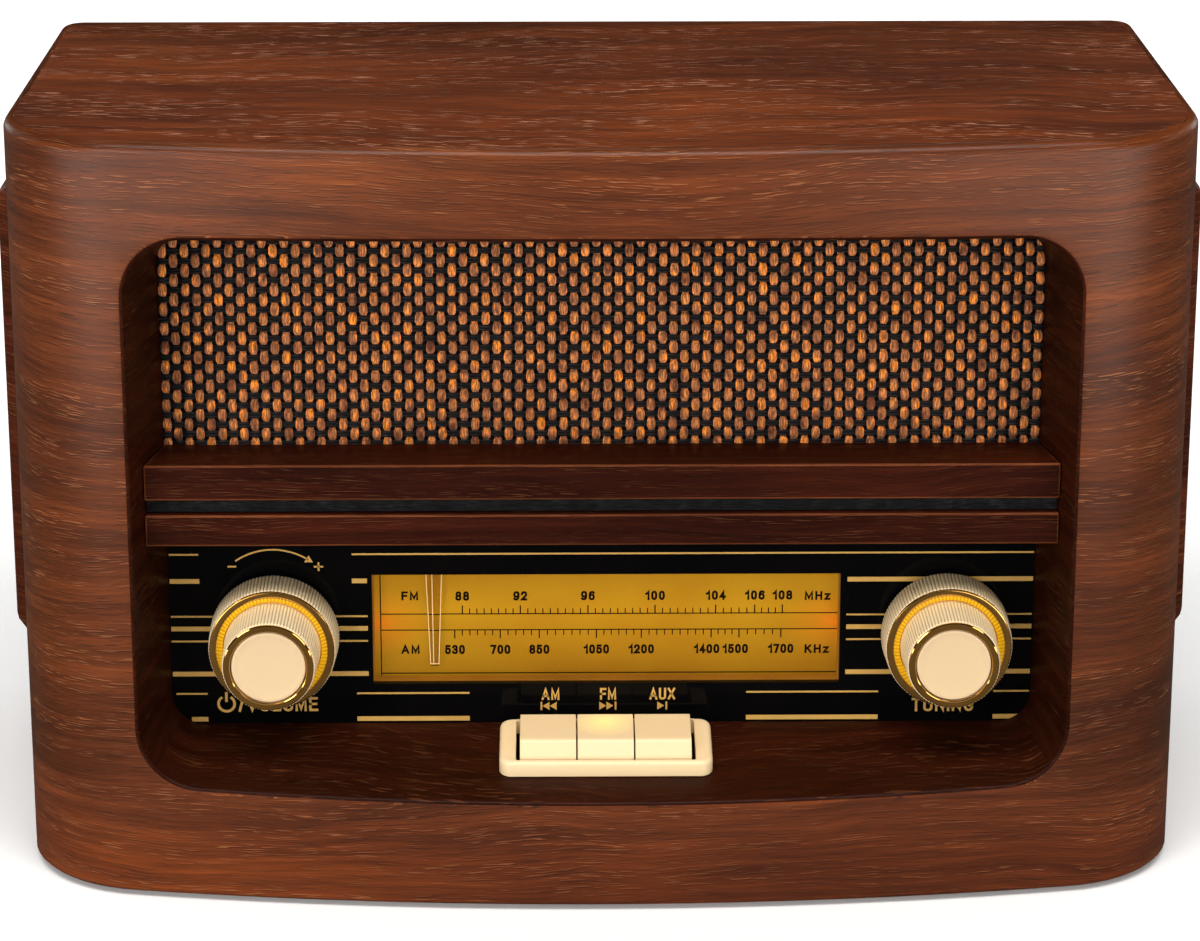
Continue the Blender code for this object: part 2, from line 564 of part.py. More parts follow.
def build_inside():
    board = box("main_board", (-80.0, 70.0), (92.0, 142.0), (20.0, 21.6), "circuit_board", (0, 92, 20))
    for x0, x1, y0, y1, z1 in ((-75, -45, 100, 135, 46), (-30, -14, 100, 116, 38), (0, 10, 110, 120, 36),
                               (20, 60, 98, 104, 40)):
        boolean(board, box("tool", (x0, x1), (y0, y1), (21.0, z1), "circuit_board"), "UNION")
    for x in (-74.0, 64.0):
        for y in (96.0, 138.0):
            leg = box("tool", (x - 3, x + 3), (y - 3, y + 3), (BOARD_T + GAP, 20.8), "circuit_board")
            boolean(board, leg, "UNION")
    profile = [(0, -60), (4.7, -60), (4.7, -22), (6.3, -21), (6.3, 21), (4.7, 22), (4.7, 60), (0, 60)]
    lathe("ferrite_antenna", profile, (125.0, 182.0), "ferrite", 24, axis="X")
    hanger = [(-50, 198.7), (-50, 173), (-44, 173), (-44, 195), (44, 195), (44, 173), (50, 173), (50, 198.7)]
    bracket = loft("antenna_bracket", [[(x, y, z) for x, z in hanger] for y in (117.0, 133.0)], "white_plastic",
                   (0, 117, 198.7))
    cut_round(bracket, (125.0, 182.0), 5.0, (-60.0, 60.0), "X", 20)


def main():
    clear_scene()
    build_cabinet()
    build_rear()
    build_grille()
    build_dial()
    build_controls()
    build_inside()


main()
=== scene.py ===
"""The looks of a walnut tabletop radio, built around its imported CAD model.

Lengths are in millimetres in the cabinet's own frame: x to the right from the middle, depth backwards from
the middle of the bowed front, height up from the cabinet's underside. at() turns them into the row frame.
"""
import functools
import json
import math

import bmesh
import bpy
import numpy as np
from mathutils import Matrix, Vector


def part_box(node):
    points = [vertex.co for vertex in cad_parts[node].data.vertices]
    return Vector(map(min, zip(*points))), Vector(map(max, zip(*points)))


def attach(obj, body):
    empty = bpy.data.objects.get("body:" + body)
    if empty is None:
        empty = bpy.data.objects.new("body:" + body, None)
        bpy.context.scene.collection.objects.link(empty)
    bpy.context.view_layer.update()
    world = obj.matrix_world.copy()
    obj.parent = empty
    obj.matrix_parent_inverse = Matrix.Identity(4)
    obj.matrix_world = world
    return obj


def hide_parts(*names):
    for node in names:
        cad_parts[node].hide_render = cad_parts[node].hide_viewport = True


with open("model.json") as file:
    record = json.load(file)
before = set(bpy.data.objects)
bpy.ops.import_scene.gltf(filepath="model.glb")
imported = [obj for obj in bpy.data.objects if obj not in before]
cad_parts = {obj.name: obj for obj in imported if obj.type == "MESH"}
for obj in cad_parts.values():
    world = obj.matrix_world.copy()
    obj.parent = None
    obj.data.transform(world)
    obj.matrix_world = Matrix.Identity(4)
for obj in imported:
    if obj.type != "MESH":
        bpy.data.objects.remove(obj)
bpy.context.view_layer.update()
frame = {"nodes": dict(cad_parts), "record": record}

MM = 0.001
FRONT_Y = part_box("front_frame")[0].y
BASE_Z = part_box("front_frame")[0].z


def at(x, depth, height):
    return Vector((x * MM, FRONT_Y + depth * MM, BASE_Z + height * MM))


def span(node):
    """A CAD node's (low, high) along x, depth and height, in cabinet millimetres."""
    lo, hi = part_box(node)
    return ((lo.x / MM, hi.x / MM),
            ((lo.y - FRONT_Y) / MM, (hi.y - FRONT_Y) / MM),
            ((lo.z - BASE_Z) / MM, (hi.z - BASE_Z) / MM))


def middle(pair):
    return (pair[0] + pair[1]) / 2


# Cabinet
HALF_W = span("front_frame")[0][1]
CABINET_H = span("front_frame")[2][1]
CABINET_D = span("top_board")[1][1]
BOARD_T = CABINET_H - span("top_board")[2][0]
FRAME_D = span("front_frame")[1][1]
BOW_R = 785.0
CORNER_R = 37.0
BACK_R = 7.0
TOP_ROUND = 3.0
BASE_CHAMFER = 1.0
LID_START = CABINET_H - TOP_ROUND
LID_GRAIN = 0.4  # how far the grain map is squeezed across the lid
FOOT_HOLE_R = 9.3
SLOT_TOP = 60.0  # above the sill, for the cut under the keys
CORNER_X = HALF_W - CORNER_R
CORNER_Y = BOW_R - math.sqrt((BOW_R - CORNER_R) ** 2 - CORNER_X ** 2)
TURN = math.atan2(CORNER_X, BOW_R - CORNER_Y)
BOW_LENGTH = BOW_R * TURN
FRONT_HALF = BOW_LENGTH + CORNER_R * (math.pi / 2 - TURN)

# Opening
DIAL_Y = span("dial_plate")[1][0]
RECESS_END = DIAL_Y - 0.2
OPEN_HALF_W = 127.96
OPEN_TAPER = 0.204
OPEN_BOTTOM = 30.2
OPEN_TOP = 186.7
OPEN_SLOPE = 0.178
OPEN_FRONT_R = 19.5
OPEN_BACK_R = 9.0
OPEN_LEAD = -5.0  # depth at which the corner radius is OPEN_FRONT_R
RIM = 1.3
FIRST_GUESS = 8.0  # of the depth at which the opening's wall meets the bow
GAP = 0.3

WINDOW_X, _, WINDOW_Z = span("dial_window")
SCALE_Y = span("dial_scale")[1][0]
VOLUME = (middle(span("volume_cap")[0]), middle(span("volume_cap")[2]))
TUNING = (middle(span("tuning_cap")[0]), middle(span("tuning_cap")[2]))
KNOB_FRONT = span("volume_ring")[1][0]
KNOB_BASE = span("volume_skirt")[1][1]


# ---------------------------------------------------------------- materials

def srgb(r, g, b):
    """An sRGB colour in 0-255 as linear RGBA."""
    lin = [c / 255 / 12.92 if c <= 10 else ((c / 255 + 0.055) / 1.055) ** 2.4 for c in (r, g, b)]
    return (*lin, 1.0)


class Shader:
    """A material's node tree with a Principled shader, built with few words."""

    def __init__(self, name, **values):
        self.mat = bpy.data.materials.new(name)
        self.mat.use_nodes = True
        self.tree = self.mat.node_tree
        self.main = self.tree.nodes["Principled BSDF"]
        self.set(self.main, values)

    def set(self, node, values):
        for key, value in values.items():
            socket = node.inputs[int(key[1:])] if key[0] == "_" else node.inputs[key.replace("_", " ")]
            if isinstance(value, bpy.types.NodeSocket):
                self.tree.links.new(value, socket)
            else:
                socket.default_value = value

    def add(self, kind, props=None, **values):
        node = self.tree.nodes.new("ShaderNode" + kind)
        for key, value in (props or {}).items():
            setattr(node, key, value)
        self.set(node, values)
        return node

    def coord(self, source="Object"):
        """Texture coordinates of a kind, in metres."""
        return self.add("TexCoord").outputs[source]

    def place(self, scale, where=None, shift=(0.0, 0.0, 0.0)):
        """Coordinates scaled per axis, then shifted. Without a start, the object's own."""
        where = self.coord() if where is None else where
        return self.add("Mapping", _0=where, _1=shift, _3=scale).outputs[0]

    def noise(self, where, detail=4.0, rough=0.55, warp=0.0):
        return self.add("TexNoise", _0=where, _2=1.0, _3=detail, _4=rough, _8=warp).outputs[0]

    def ramp(self, value, *stops):
        node = self.add("ValToRGB", _0=value)
        while len(node.color_ramp.elements) < len(stops):
            node.color_ramp.elements.new(0.5)
        for element, (position, colour) in zip(node.color_ramp.elements, stops):
            element.position = position
            element.color = colour if hasattr(colour, "__len__") else (colour, colour, colour, 1.0)
        return node.outputs[0]

    def mix(self, factor, a, b, blend="MIX"):
        node = self.add("Mix", {"data_type": "RGBA", "blend_type": blend}, _0=factor, _6=a, _7=b)
        return node.outputs[2]

    def math(self, operation, a, b=0.5):
        return self.add("Math", {"operation": operation}, _0=a, _1=b).outputs[0]

    def times(self, *values):
        """The product of two or more numbers."""
        product = values[0]
        for value in values[1:]:
            product = self.add("Math", {"operation": "MULTIPLY"}, _0=product, _1=value).outputs[0]
        return product

    def split(self, vector):
        """The three parts of a vector."""
        return self.add("SeparateXYZ", _0=vector).outputs

    def length(self, vector):
        return self.add("VectorMath", {"operation": "LENGTH"}, _0=vector).outputs["Value"]

    def bump(self, height, depth_mm, strength=1.0):
        return self.add("Bump", _0=strength, _1=depth_mm * MM, _3=height).outputs[0]

    def done(self, **values):
        self.set(self.main, values)
        return self.mat


# The pale fleck beside each pore is partly pale filler and partly a painted glint.
PORE_SHIFT = 0.22 * MM  # from a dark pore to the pale fleck beside it


def wood(name, dark, mid, light, flecks_and_glints=0.6, lacquered=True):
    """Walnut veneer. The grain runs along U of the grain map, which is in metres."""
    s = Shader(name, Coat_Weight=0.25 if lacquered else 0.05, Coat_Roughness=0.28,
               Specular_IOR_Level=0.12 if lacquered else 0.04)
    flat = s.coord("UV")
    wave = s.noise(s.place((5.0, 8.0, 1.0), flat), 3.0, 0.5)
    lift = s.add("CombineXYZ", _1=s.times(s.math("SUBTRACT", wave, 0.5), 0.03)).outputs[0]
    bent = s.add("VectorMath", {"operation": "ADD"}, _0=flat, _1=lift).outputs[0]

    def grain(along, across, detail, rough, warp, shift=0.0):
        return s.noise(s.place((along, across, 1.0), bent, (0.0, shift * across, 0.0)), detail, rough, warp)

    # Stain: slow clouds, then the figure and the fine streaks over them
    streak = grain(40.0, 1000.0, 3.0, 0.6, 0.2)
    figure = s.ramp(grain(10.0, 300.0, 4.0, 0.6, 0.4), (0.38, 0.6), (0.5, 1.0), (0.62, 1.5))
    colour = s.ramp(grain(7.0, 34.0, 4.0, 0.55, 0.4), (0.32, dark), (0.5, mid), (0.68, light))
    colour = s.mix(0.55, colour, figure, "MULTIPLY")
    colour = s.mix(0.6, colour, s.ramp(streak, (0.32, 0.6), (0.5, 1.0), (0.7, 1.4)), "MULTIPLY")

    # Open pores: short dark dashes, each with a pale fleck beside it, gathered in long patches. The pale
    # flecks are partly pale filler and partly painted glints, where light catches the pores' edges
    fleck_and_glint, pore = [s.ramp(grain(130.0, 3000.0, 1.0, 0.5, 0.3, beside), (0.6, 0.0), (0.64, 1.0))
                   for beside in (0.0, PORE_SHIFT)]
    gap = s.ramp(grain(12.0, 160.0, 3.0, 0.6, 0.5), (0.4, 0.2), (0.56, 1.0))
    patch = s.ramp(grain(9.0, 190.0, 3.0, 0.6, 0.5), (0.44, 0.1), (0.62, 1.0))
    colour = s.mix(s.times(pore, gap, 0.6), colour, srgb(30, 11, 5))
    amount = s.times(patch, fleck_and_glint, flecks_and_glints)
    pale = srgb(168, 102, 58)
    rough = s.ramp(streak, (0.3, 0.38), (0.7, 0.52))
    if lacquered:
        # Painted highlight: flecks are paler and more on faces turned up, as on the lid, where light catches
        # them. The band along the base is warmer and duller
        lid = s.ramp(s.split(s.add("NewGeometry").outputs["Normal"])[2], (0.93, 0.0), (0.995, 1.0))
        # Painted light: the band along the base is made lighter and warmer in colour.
        base = s.ramp(s.split(flat)[1], (0.012, 1.0), (0.036, 0.0))
        colour = s.mix(base, colour, s.mix(1.0, colour, (1.2, 1.1, 1.0, 1.0), "MULTIPLY"))
        pale = s.mix(lid, pale, srgb(190, 130, 100))
        amount = s.times(amount, s.add("MapRange", _0=lid, _3=1.0, _4=1.1).outputs[0])
        rough = s.mix(base, rough, (0.85, 0.85, 0.85, 1.0))
    height = s.math("SUBTRACT", s.times(streak, 0.35), pore)
    return s.done(Base_Color=s.mix(amount, colour, pale), Roughness=rough, Normal=s.bump(height, 0.16, 0.8))


def plastic(name, colour, rough=0.35, tint=None, mottling=0.06, groove_shade=None, **more):
    """Moulded plastic: faint colour drift, a fine moulded texture and, where asked, painted shade down in the
    ribs' flutes.
    """
    s = Shader(name, **more)
    drift = s.noise(s.place((30.0, 30.0, 30.0)), 3.0)
    fine = s.noise(s.place((2600.0, 2600.0, 2600.0)), 2.0)
    shade = tint or tuple(c * 0.8 for c in colour[:3]) + (1.0,)
    base = s.mix(s.ramp(drift, (0.35, 0.0), (0.7, 1.0)), colour, shade)
    # Painted shade: the flutes of ribs darken towards the given colour, by their depth.
    if groove_shade:
        deep = s.add("Attribute", {"attribute_name": "groove_shade"}).outputs["Fac"]
        base = s.mix(deep, base, groove_shade)
    rough = s.ramp(fine, (0.3, rough - mottling), (0.7, rough + mottling))
    return s.done(Base_Color=base, Roughness=rough, Normal=s.bump(fine, 0.012, 0.35))


def metal(name, colour, rough=0.25, brushed=(60.0, 2500.0, 60.0), **more):
    s = Shader(name, **{"Metallic": 1.0, **more})
    lines = s.noise(s.place(brushed), 3.0)
    base = s.mix(s.ramp(lines, (0.3, 0.0), (0.7, 1.0)), colour, tuple(c * 0.78 for c in colour[:3]) + (1.0,))
    rough = s.ramp(lines, (0.3, rough * 0.8), (0.7, rough * 1.25))
    return s.done(Base_Color=base, Roughness=rough, Normal=s.bump(lines, 0.004, 0.3))


def yarn(name, dark, mid, light, along, rough=0.75, sheen=0.05):
    """Twisted thread: fibres run along one axis and the colour changes from float to float."""
    s = Shader(name, Sheen_Weight=sheen, Sheen_Roughness=0.5, Specular_IOR_Level=0.25)
    fine = (2700.0, 1500.0, 300.0) if along == "Z" else (300.0, 1500.0, 2700.0)
    fibres = s.noise(s.place(fine), 3.0, 0.7)
    patches = s.noise(s.place((310.0, 20.0, 170.0)), 2.0, 0.6)
    base = s.ramp(patches, (0.32, dark), (0.5, mid), (0.68, light))
    base = s.mix(0.8, base, s.ramp(fibres, (0.38, 0.2), (0.5, 0.95), (0.62, 2.4)), "MULTIPLY")
    return s.done(Base_Color=base, Roughness=rough, Normal=s.bump(fibres, 0.16, 0.9))


def lit_scale():
    """Amber dial sheet lit from behind by a lamp at each end."""
    s = Shader("amber_scale", Roughness=0.35, Specular_IOR_Level=0.08)
    lamps = []
    for node in ("dial_lamp_left", "dial_lamp_right"):
        lo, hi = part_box(node)
        spot = (lo + hi) / 2
        where = s.place((1.0, 0.0, 1.6), shift=(-spot.x, 0.0, -1.6 * spot.z))
        lamps.append(s.ramp(s.times(s.length(where), 30.0), (0.02, 1.0), (0.16, 0.4), (0.45, 0.0)))
    glow = s.math("MAXIMUM", lamps[0], lamps[1])
    cloud = s.noise(s.place((16.0, 1.0, 30.0)), 3.0)
    paper = s.noise(s.place((1500.0, 1.0, 1500.0)), 2.0)
    base = s.mix(s.ramp(cloud, (0.3, 0.0), (0.7, 1.0)), srgb(186, 124, 8), srgb(208, 154, 20))
    lo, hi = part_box("dial_scale")
    up = s.add("MapRange", _0=s.split(s.coord())[2], _1=lo.z, _2=hi.z).outputs[0]
    # Painted shade: the sheet darkens towards its bottom and under its top edge, where the plate shades it.
    shade = s.ramp(up, (0.0, 0.4), (0.3, 0.68), (0.6, 0.85), (0.95, 0.6))
    base = s.mix(1.0, base, shade, "MULTIPLY")
    base = s.mix(s.times(paper, 0.15), base, srgb(150, 90, 8))
    base = s.mix(s.times(glow, 0.55), base, (0.95, 0.2, 0.004, 1.0))
    return s.done(Base_Color=base, Emission_Color=base, Emission_Strength=0.45)


def lit_key(centre):
    """Cream key with a lamp under it that shows through as a soft warm spot."""
    s = Shader("cream_lit_key", Roughness=0.34)
    far = s.length(s.place((1.0, 1.0, 1.0), shift=tuple(-c for c in centre)))
    spot = s.ramp(s.times(far, 100.0), (0.0, 1.0), (0.35, 0.6), (0.95, 0.0))
    fine = s.noise(s.place((2600.0, 2600.0, 2600.0)), 2.0)
    base = s.mix(spot, srgb(236, 208, 164), srgb(255, 226, 150))
    light = s.mix(spot, (0.0, 0.0, 0.0, 1.0), (1.0, 0.72, 0.22, 1.0))
    return s.done(Base_Color=base, Emission_Color=light, Emission_Strength=0.3,
                  Normal=s.bump(fine, 0.01, 0.3))


def clear_plastic(name, alpha, tint=(0.03, 0.03, 0.028, 1.0)):
    s = Shader(name, Roughness=0.03, Alpha=alpha, Specular_IOR_Level=0.5)
    haze = s.noise(s.place((220.0, 220.0, 220.0)), 3.0)
    return s.done(Base_Color=s.mix(haze, tint, (0.01, 0.01, 0.01, 1.0)),
                  Roughness=s.ramp(haze, (0.3, 0.02), (0.7, 0.07)))


def gloss_black():
    s = Shader("gloss_black", Specular_IOR_Level=0.07)
    haze = s.noise(s.place((40.0, 40.0, 40.0)), 4.0)
    return s.done(Base_Color=s.ramp(haze, (0.3, srgb(5, 5, 6)), (0.7, srgb(9, 8, 8))),
                  Roughness=s.ramp(haze, (0.35, 0.03), (0.7, 0.07)), Normal=s.bump(haze, 0.01, 0.05))


def floor_paint():
    """White paper, bright further out. Glossy surfaces see it dark, with two pale patches in front."""
    s = Shader("studio_floor", Roughness=0.7, Specular_IOR_Level=0.1)
    tone = s.noise(s.place((3.0, 3.0, 3.0)), 3.0)
    white = s.mix(tone, (0.88, 0.88, 0.88, 1.0), (0.9, 0.9, 0.9, 1.0))
    where = s.coord()
    x, y, _ = s.split(where)
    glow = s.mix(1.0, white, s.ramp(s.length(where), (0.16, 0.12), (0.75, 0.8)), "MULTIPLY")
    aside = s.ramp(s.math("ABSOLUTE", x), (0.25, 0.0), (0.55, 1.0))
    ahead = s.ramp(s.times(y, -1.0), (0.3, 0.0), (0.6, 1.0))
    patches = s.mix(s.times(aside, ahead), (0.0, 0.0, 0.0, 1.0), (6.2, 5.5, 5.0, 1.0))
    glossy = s.add("LightPath").outputs["Is Glossy Ray"]
    return s.done(Base_Color=s.mix(glossy, white, (0.1, 0.085, 0.068, 1.0)),
                  Emission_Color=s.mix(glossy, glow, patches), Emission_Strength=1.0)


WALNUT = wood("walnut", srgb(66, 27, 5), srgb(83, 36, 7), srgb(101, 47, 11))
WALNUT_DARK = wood("walnut_dark", srgb(52, 18, 6), srgb(68, 26, 9), srgb(88, 38, 14), 0.3, False)
RAIL = wood("walnut_rail", srgb(36, 9, 3), srgb(45, 13, 4), srgb(58, 19, 5), 0.16, False)
# Paler walnut for the rails' eased edges: a painted highlight.
RAIL_EDGE_HIGHLIGHT = wood("walnut_rail_painted_highlight", srgb(70, 32, 14), srgb(92, 46, 22), srgb(116, 64, 34), 0.3, False)
# Darker stain for inside the opening, darkened further as painted shade.
RECESS = wood("walnut_recess", srgb(32, 9, 3), srgb(41, 13, 4), srgb(52, 18, 6), 0.12, False)
CAP = plastic("cream_cap", srgb(208, 181, 142), 0.36, srgb(208, 178, 136))
CREAM = plastic("cream", srgb(236, 208, 164), 0.34, srgb(234, 206, 158))
# Ribbed cream, with painted shade in the flutes between its ribs.
CREAM_RIB = plastic("cream_ribbed", srgb(236, 216, 178), 0.42, srgb(228, 204, 162),
                    groove_shade=srgb(186, 152, 104))
GOLD = metal("gold_metal", srgb(244, 190, 104), 0.05)
# Glowing bright gold for the knobs' cones: painted reflection of the lit grips in the dishes.
GOLD_PAINTED_GLOW = metal("gold_painted_glow", srgb(255, 218, 56), 0.1, Metallic=0.9, Emission_Color=srgb(255, 190, 20),
                    Emission_Strength=0.22)
GOLD_PRINT = metal("gold_print", srgb(236, 186, 98), 0.4, Metallic=0.25)
BLACK = gloss_black()
FELT = yarn("black_felt", srgb(9, 9, 10), srgb(14, 14, 15), srgb(24, 24, 26), "X", 0.95)
WARP = yarn("warp_yarn", srgb(112, 56, 24), srgb(172, 104, 58), srgb(228, 130, 34), "Z", sheen=0.25)
WEFT = yarn("weft_yarn", srgb(5, 5, 6), srgb(9, 9, 11), srgb(20, 21, 25), "X", 0.5)
BACKING = yarn("backing_cloth", srgb(6, 6, 7), srgb(9, 9, 10), srgb(14, 14, 15), "X", 0.95)
INK = plastic("dial_ink", srgb(30, 16, 4), 0.6, Specular_IOR_Level=0.05)
# Near-black for the floor under the keys: painted shade.
WELL_SHADE = plastic("well_painted_shade", srgb(14, 12, 10), 0.7)


# ---------------------------------------------------------------- making pieces

def linked(name, data):
    """A new object in the scene."""
    obj = bpy.data.objects.new(name, data)
    bpy.context.scene.collection.objects.link(obj)
    return obj


def face_outwards(mesh):
    bm = bmesh.new()
    bm.from_mesh(mesh)
    bmesh.ops.recalc_face_normals(bm, faces=bm.faces)
    bm.to_mesh(mesh)
    bm.free()


def piece(name, verts, faces, material, body="cabinet", replaces=(), slot=None, smooth=35, uvs=None):
    """A mesh piece from points in cabinet millimetres. uvs gives one grain coordinate per vertex."""
    mesh = bpy.data.meshes.new(name)
    mesh.from_pydata([at(*v) for v in verts], [], faces)
    if uvs is not None:
        layer = mesh.uv_layers.new(name="grain")
        index = np.zeros(len(mesh.loops), np.int32)
        mesh.loops.foreach_get("vertex_index", index)
        layer.data.foreach_set("uv", np.array(uvs, np.float32)[index].ravel())
    face_outwards(mesh)
    if smooth:
        soften(mesh, smooth)
    mesh.materials.append(material)
    obj = linked(name, mesh)
    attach(obj, body)
    if replaces:
        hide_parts(*replaces)
    return obj


def soften(mesh, angle):
    """Smooth shading, but for edges sharper than an angle in degrees."""
    mesh.shade_smooth()
    mesh.set_sharp_from_angle(angle=math.radians(angle))


def cut_away(obj, tools):
    """Takes solids, given as vertices and faces, out of a piece."""
    for verts, faces in tools:
        mesh = bpy.data.meshes.new("cutter")
        mesh.from_pydata([at(*v) for v in verts], [], faces)
        face_outwards(mesh)
        tool = linked("cutter", mesh)
        mod = obj.modifiers.new("cut", "BOOLEAN")
        mod.object = tool
        mod.solver = "EXACT"
        bpy.context.view_layer.update()
        made = bpy.data.meshes.new_from_object(obj.evaluated_get(bpy.context.evaluated_depsgraph_get()))
        obj.modifiers.clear()
        obj.data = made
        bpy.data.objects.remove(tool)


def loft_mesh(rings, caps=True):
    """Vertices and faces through rings of points with the same count."""
    count = len(rings[0])
    verts = [p for ring in rings for p in ring]
    faces = []
    for k in range(len(rings) - 1):
        for i in range(count):
            j = (i + 1) % count
            a, b = k * count, (k + 1) * count
            faces.append((a + i, a + j, b + j, b + i))
    if caps:
        faces.append(tuple(range(count)))
        faces.append(tuple(range((len(rings) - 1) * count, len(rings) * count)))
    return verts, faces


def arc(cx, cy, radius, start, end, steps):
    """Points on a circle from start to end, in degrees."""
    turn = [math.radians(start + (end - start) * k / steps) for k in range(steps + 1)]
    return [(cx + radius * math.cos(a), cy + radius * math.sin(a)) for a in turn]


def round_rect(x0, x1, z0, z1, r, steps=6):
    pts = arc(x0 + r, z0 + r, r, 180, 270, steps) + arc(x1 - r, z0 + r, r, 270, 360, steps)
    return pts + arc(x1 - r, z1 - r, r, 0, 90, steps) + arc(x0 + r, z1 - r, r, 90, 180, steps)


def turned(name, profile, centre, material, body, segments=96, ribs=0, rib_depth=0.0, **more):
    """A closed (radius, depth, ribbed) profile turned about the knob's shaft. Ribs are rounded flutes."""
    steps = ribs * 8 if ribs else segments
    angles = np.arange(steps) * 2 * math.pi / steps
    deep = 1 - np.abs(np.sin(angles * ribs / 2)) ** 0.55 if ribs else np.zeros(steps)
    flute = -rib_depth * deep
    verts, faces, starts, groove_shades = [], [], [], []
    for point in profile:
        starts.append(len(verts))
        if point[0] == 0:
            verts.append((centre[0], point[1], centre[1]))
            groove_shades.append(0.0)
            continue
        share = point[2] if len(point) > 2 else 0.0
        groove_shades += list(share * deep)
        radii = point[0] + share * flute
        verts += [(centre[0] + r * math.cos(a), point[1], centre[1] + r * math.sin(a))
                  for r, a in zip(radii, angles)]
    for k in range(len(profile)):
        n = (k + 1) % len(profile)
        one, two = profile[k][0] == 0, profile[n][0] == 0
        if one and two:
            continue
        for i in range(steps):
            j = (i + 1) % steps
            a, b = (starts[k],) * 2 if one else (starts[k] + i, starts[k] + j)
            c, d = (starts[n],) * 2 if two else (starts[n] + j, starts[n] + i)
            faces.append(tuple(dict.fromkeys((a, b, c, d))))
    part = piece(name, verts, faces, material, body, **more)
    # Each vertex keeps its flute depth, which the material turns into painted shade.
    if ribs:
        part.data.attributes.new("groove_shade", "FLOAT", "POINT").data.foreach_set("value", groove_shades)
    return part


def bevelled(obj, width, segments, angle=30):
    """Eases a piece's sharp edges. Returns the modifier."""
    mod = obj.modifiers.new("edges", "BEVEL")
    mod.width = width * MM
    mod.segments = segments
    mod.limit_method = "ANGLE"
    mod.angle_limit = math.radians(angle)
    mod.harden_normals = True
    return mod


def box_faces(x, y, z):
    """Vertices and faces of one box, for a piece made of several."""
    verts = [(a, b, c) for a in x for b in y for c in z]
    return verts, [(0, 1, 3, 2), (4, 6, 7, 5), (0, 4, 5, 1), (2, 3, 7, 6), (0, 2, 6, 4), (1, 5, 7, 3)]


def merged(parts):
    verts, faces = [], []
    for v, f in parts:
        faces += [tuple(i + len(verts) for i in face) for face in f]
        verts += v
    return verts, faces


def grain_by_face(obj, shift):
    """Grain map for a small wooden piece: along x on fronts and tops, along depth on sides."""
    mesh = obj.data
    layer = mesh.uv_layers.new(name="grain")
    for face in mesh.polygons:
        n = face.normal
        for k in face.loop_indices:
            x, y, z = mesh.vertices[mesh.loops[k].vertex_index].co
            if abs(n.x) > 0.45:
                layer.data[k].uv = (y + shift, z)
            else:
                layer.data[k].uv = (x + shift, y + 1.0 if abs(n.z) > 0.6 else z)


def dress(node, material):
    mesh = frame["nodes"][node].data
    mesh.materials.clear()
    mesh.materials.append(material)


# ---------------------------------------------------------------- cabinet shell

def front_point(s):
    """Plan point, and the direction out of the surface there, at arc length s along the bowed front."""
    sign = -1 if s < 0 else 1
    s = abs(s)
    if s <= BOW_LENGTH:
        a = s / BOW_R
        x, y = BOW_R * math.sin(a), BOW_R - BOW_R * math.cos(a)
    else:
        a = TURN + (s - BOW_LENGTH) / CORNER_R
        x, y = CORNER_X + CORNER_R * math.sin(a), CORNER_Y - CORNER_R * math.cos(a)
    return sign * x, y, sign * math.sin(a), -math.cos(a)


def arc_at(x):
    """Arc length along the bow at x, for x within the bow."""
    return BOW_R * math.asin(x / BOW_R)


def back_path():
    """From the front's right end round the back to its left end: points, directions out, arc lengths."""
    right = [(HALF_W, y, 1.0, 0.0) for y in np.linspace(CORNER_Y, CABINET_D - BACK_R, 14)[1:]]
    corner = [(HALF_W - BACK_R + BACK_R * math.cos(a), CABINET_D - BACK_R + BACK_R * math.sin(a), math.cos(a),
               math.sin(a)) for a in np.linspace(0, math.pi / 2, 8)[1:]]
    across = [(x, CABINET_D, 0.0, 1.0) for x in np.linspace(HALF_W - BACK_R, 0, 12)[1:]]
    half = right + corner + across
    path = half + [(-x, y, -nx, ny) for x, y, nx, ny in half[-2::-1]]
    arcs, length, last = [], FRONT_HALF, (HALF_W, CORNER_Y)
    for x, y, _, _ in half:
        length += math.hypot(x - last[0], y - last[1])
        arcs.append(length)
        last = (x, y)
    return path, arcs + [-u for u in arcs[-2::-1]]


# Mesh steps along the opening's straight edges, round its corners, and from its rim to the cabinet's edge
ALONG, UP, ROUND, BLENDS = 40, 18, 32, 14
CORNER = ROUND // 2


@functools.cache
def opening_points(depth):
    """The opening's outline at a depth, anticlockwise from its lower left: points with directions out."""
    share = (depth - OPEN_LEAD) / (RECESS_END - OPEN_LEAD)
    half = OPEN_HALF_W - OPEN_TAPER * depth
    low, high = OPEN_BOTTOM + OPEN_SLOPE * depth, OPEN_TOP - OPEN_SLOPE * depth
    r = OPEN_FRONT_R + (OPEN_BACK_R - OPEN_FRONT_R) * share

    def corner(cx, cz, start):
        turn = [math.radians(start + 90.0 * k / ROUND) for k in range(ROUND)]
        return [(cx + r * math.cos(a), cz + r * math.sin(a), math.cos(a), math.sin(a)) for a in turn]

    pts = [(x, low, 0.0, -1.0) for x in np.linspace(-half + r, half - r, ALONG + 1)[:-1]]
    pts += corner(half - r, low + r, 270)
    pts += [(half, z, 1.0, 0.0) for z in np.linspace(low + r, high - r, UP + 1)[:-1]]
    pts += corner(half - r, high - r, 0)
    pts += [(x, high, 0.0, 1.0) for x in np.linspace(half - r, -half + r, ALONG + 1)[:-1]]
    pts += corner(-half + r, high - r, 90)
    pts += [(-half, z, -1.0, 0.0) for z in np.linspace(high - r, low + r, UP + 1)[:-1]]
    return pts + corner(-half + r, low + r, 180)


def wall(i, depth):
    """Point i of the opening's tapered wall."""
    x, z = opening_points(depth)[i][:2]
    return x, depth, z


def opening_rim():
    """Where the opening's wall meets the bow: points (x, depth, z), each with its direction out."""
    rim = []
    for i in range(2 * (ALONG + UP) + 4 * ROUND):
        depth = FIRST_GUESS
        for _ in range(4):
            x, z, nx, nz = opening_points(depth)[i]
            depth = front_point(arc_at(x))[1]
        rim.append((x, depth, z, nx, nz))
    return rim


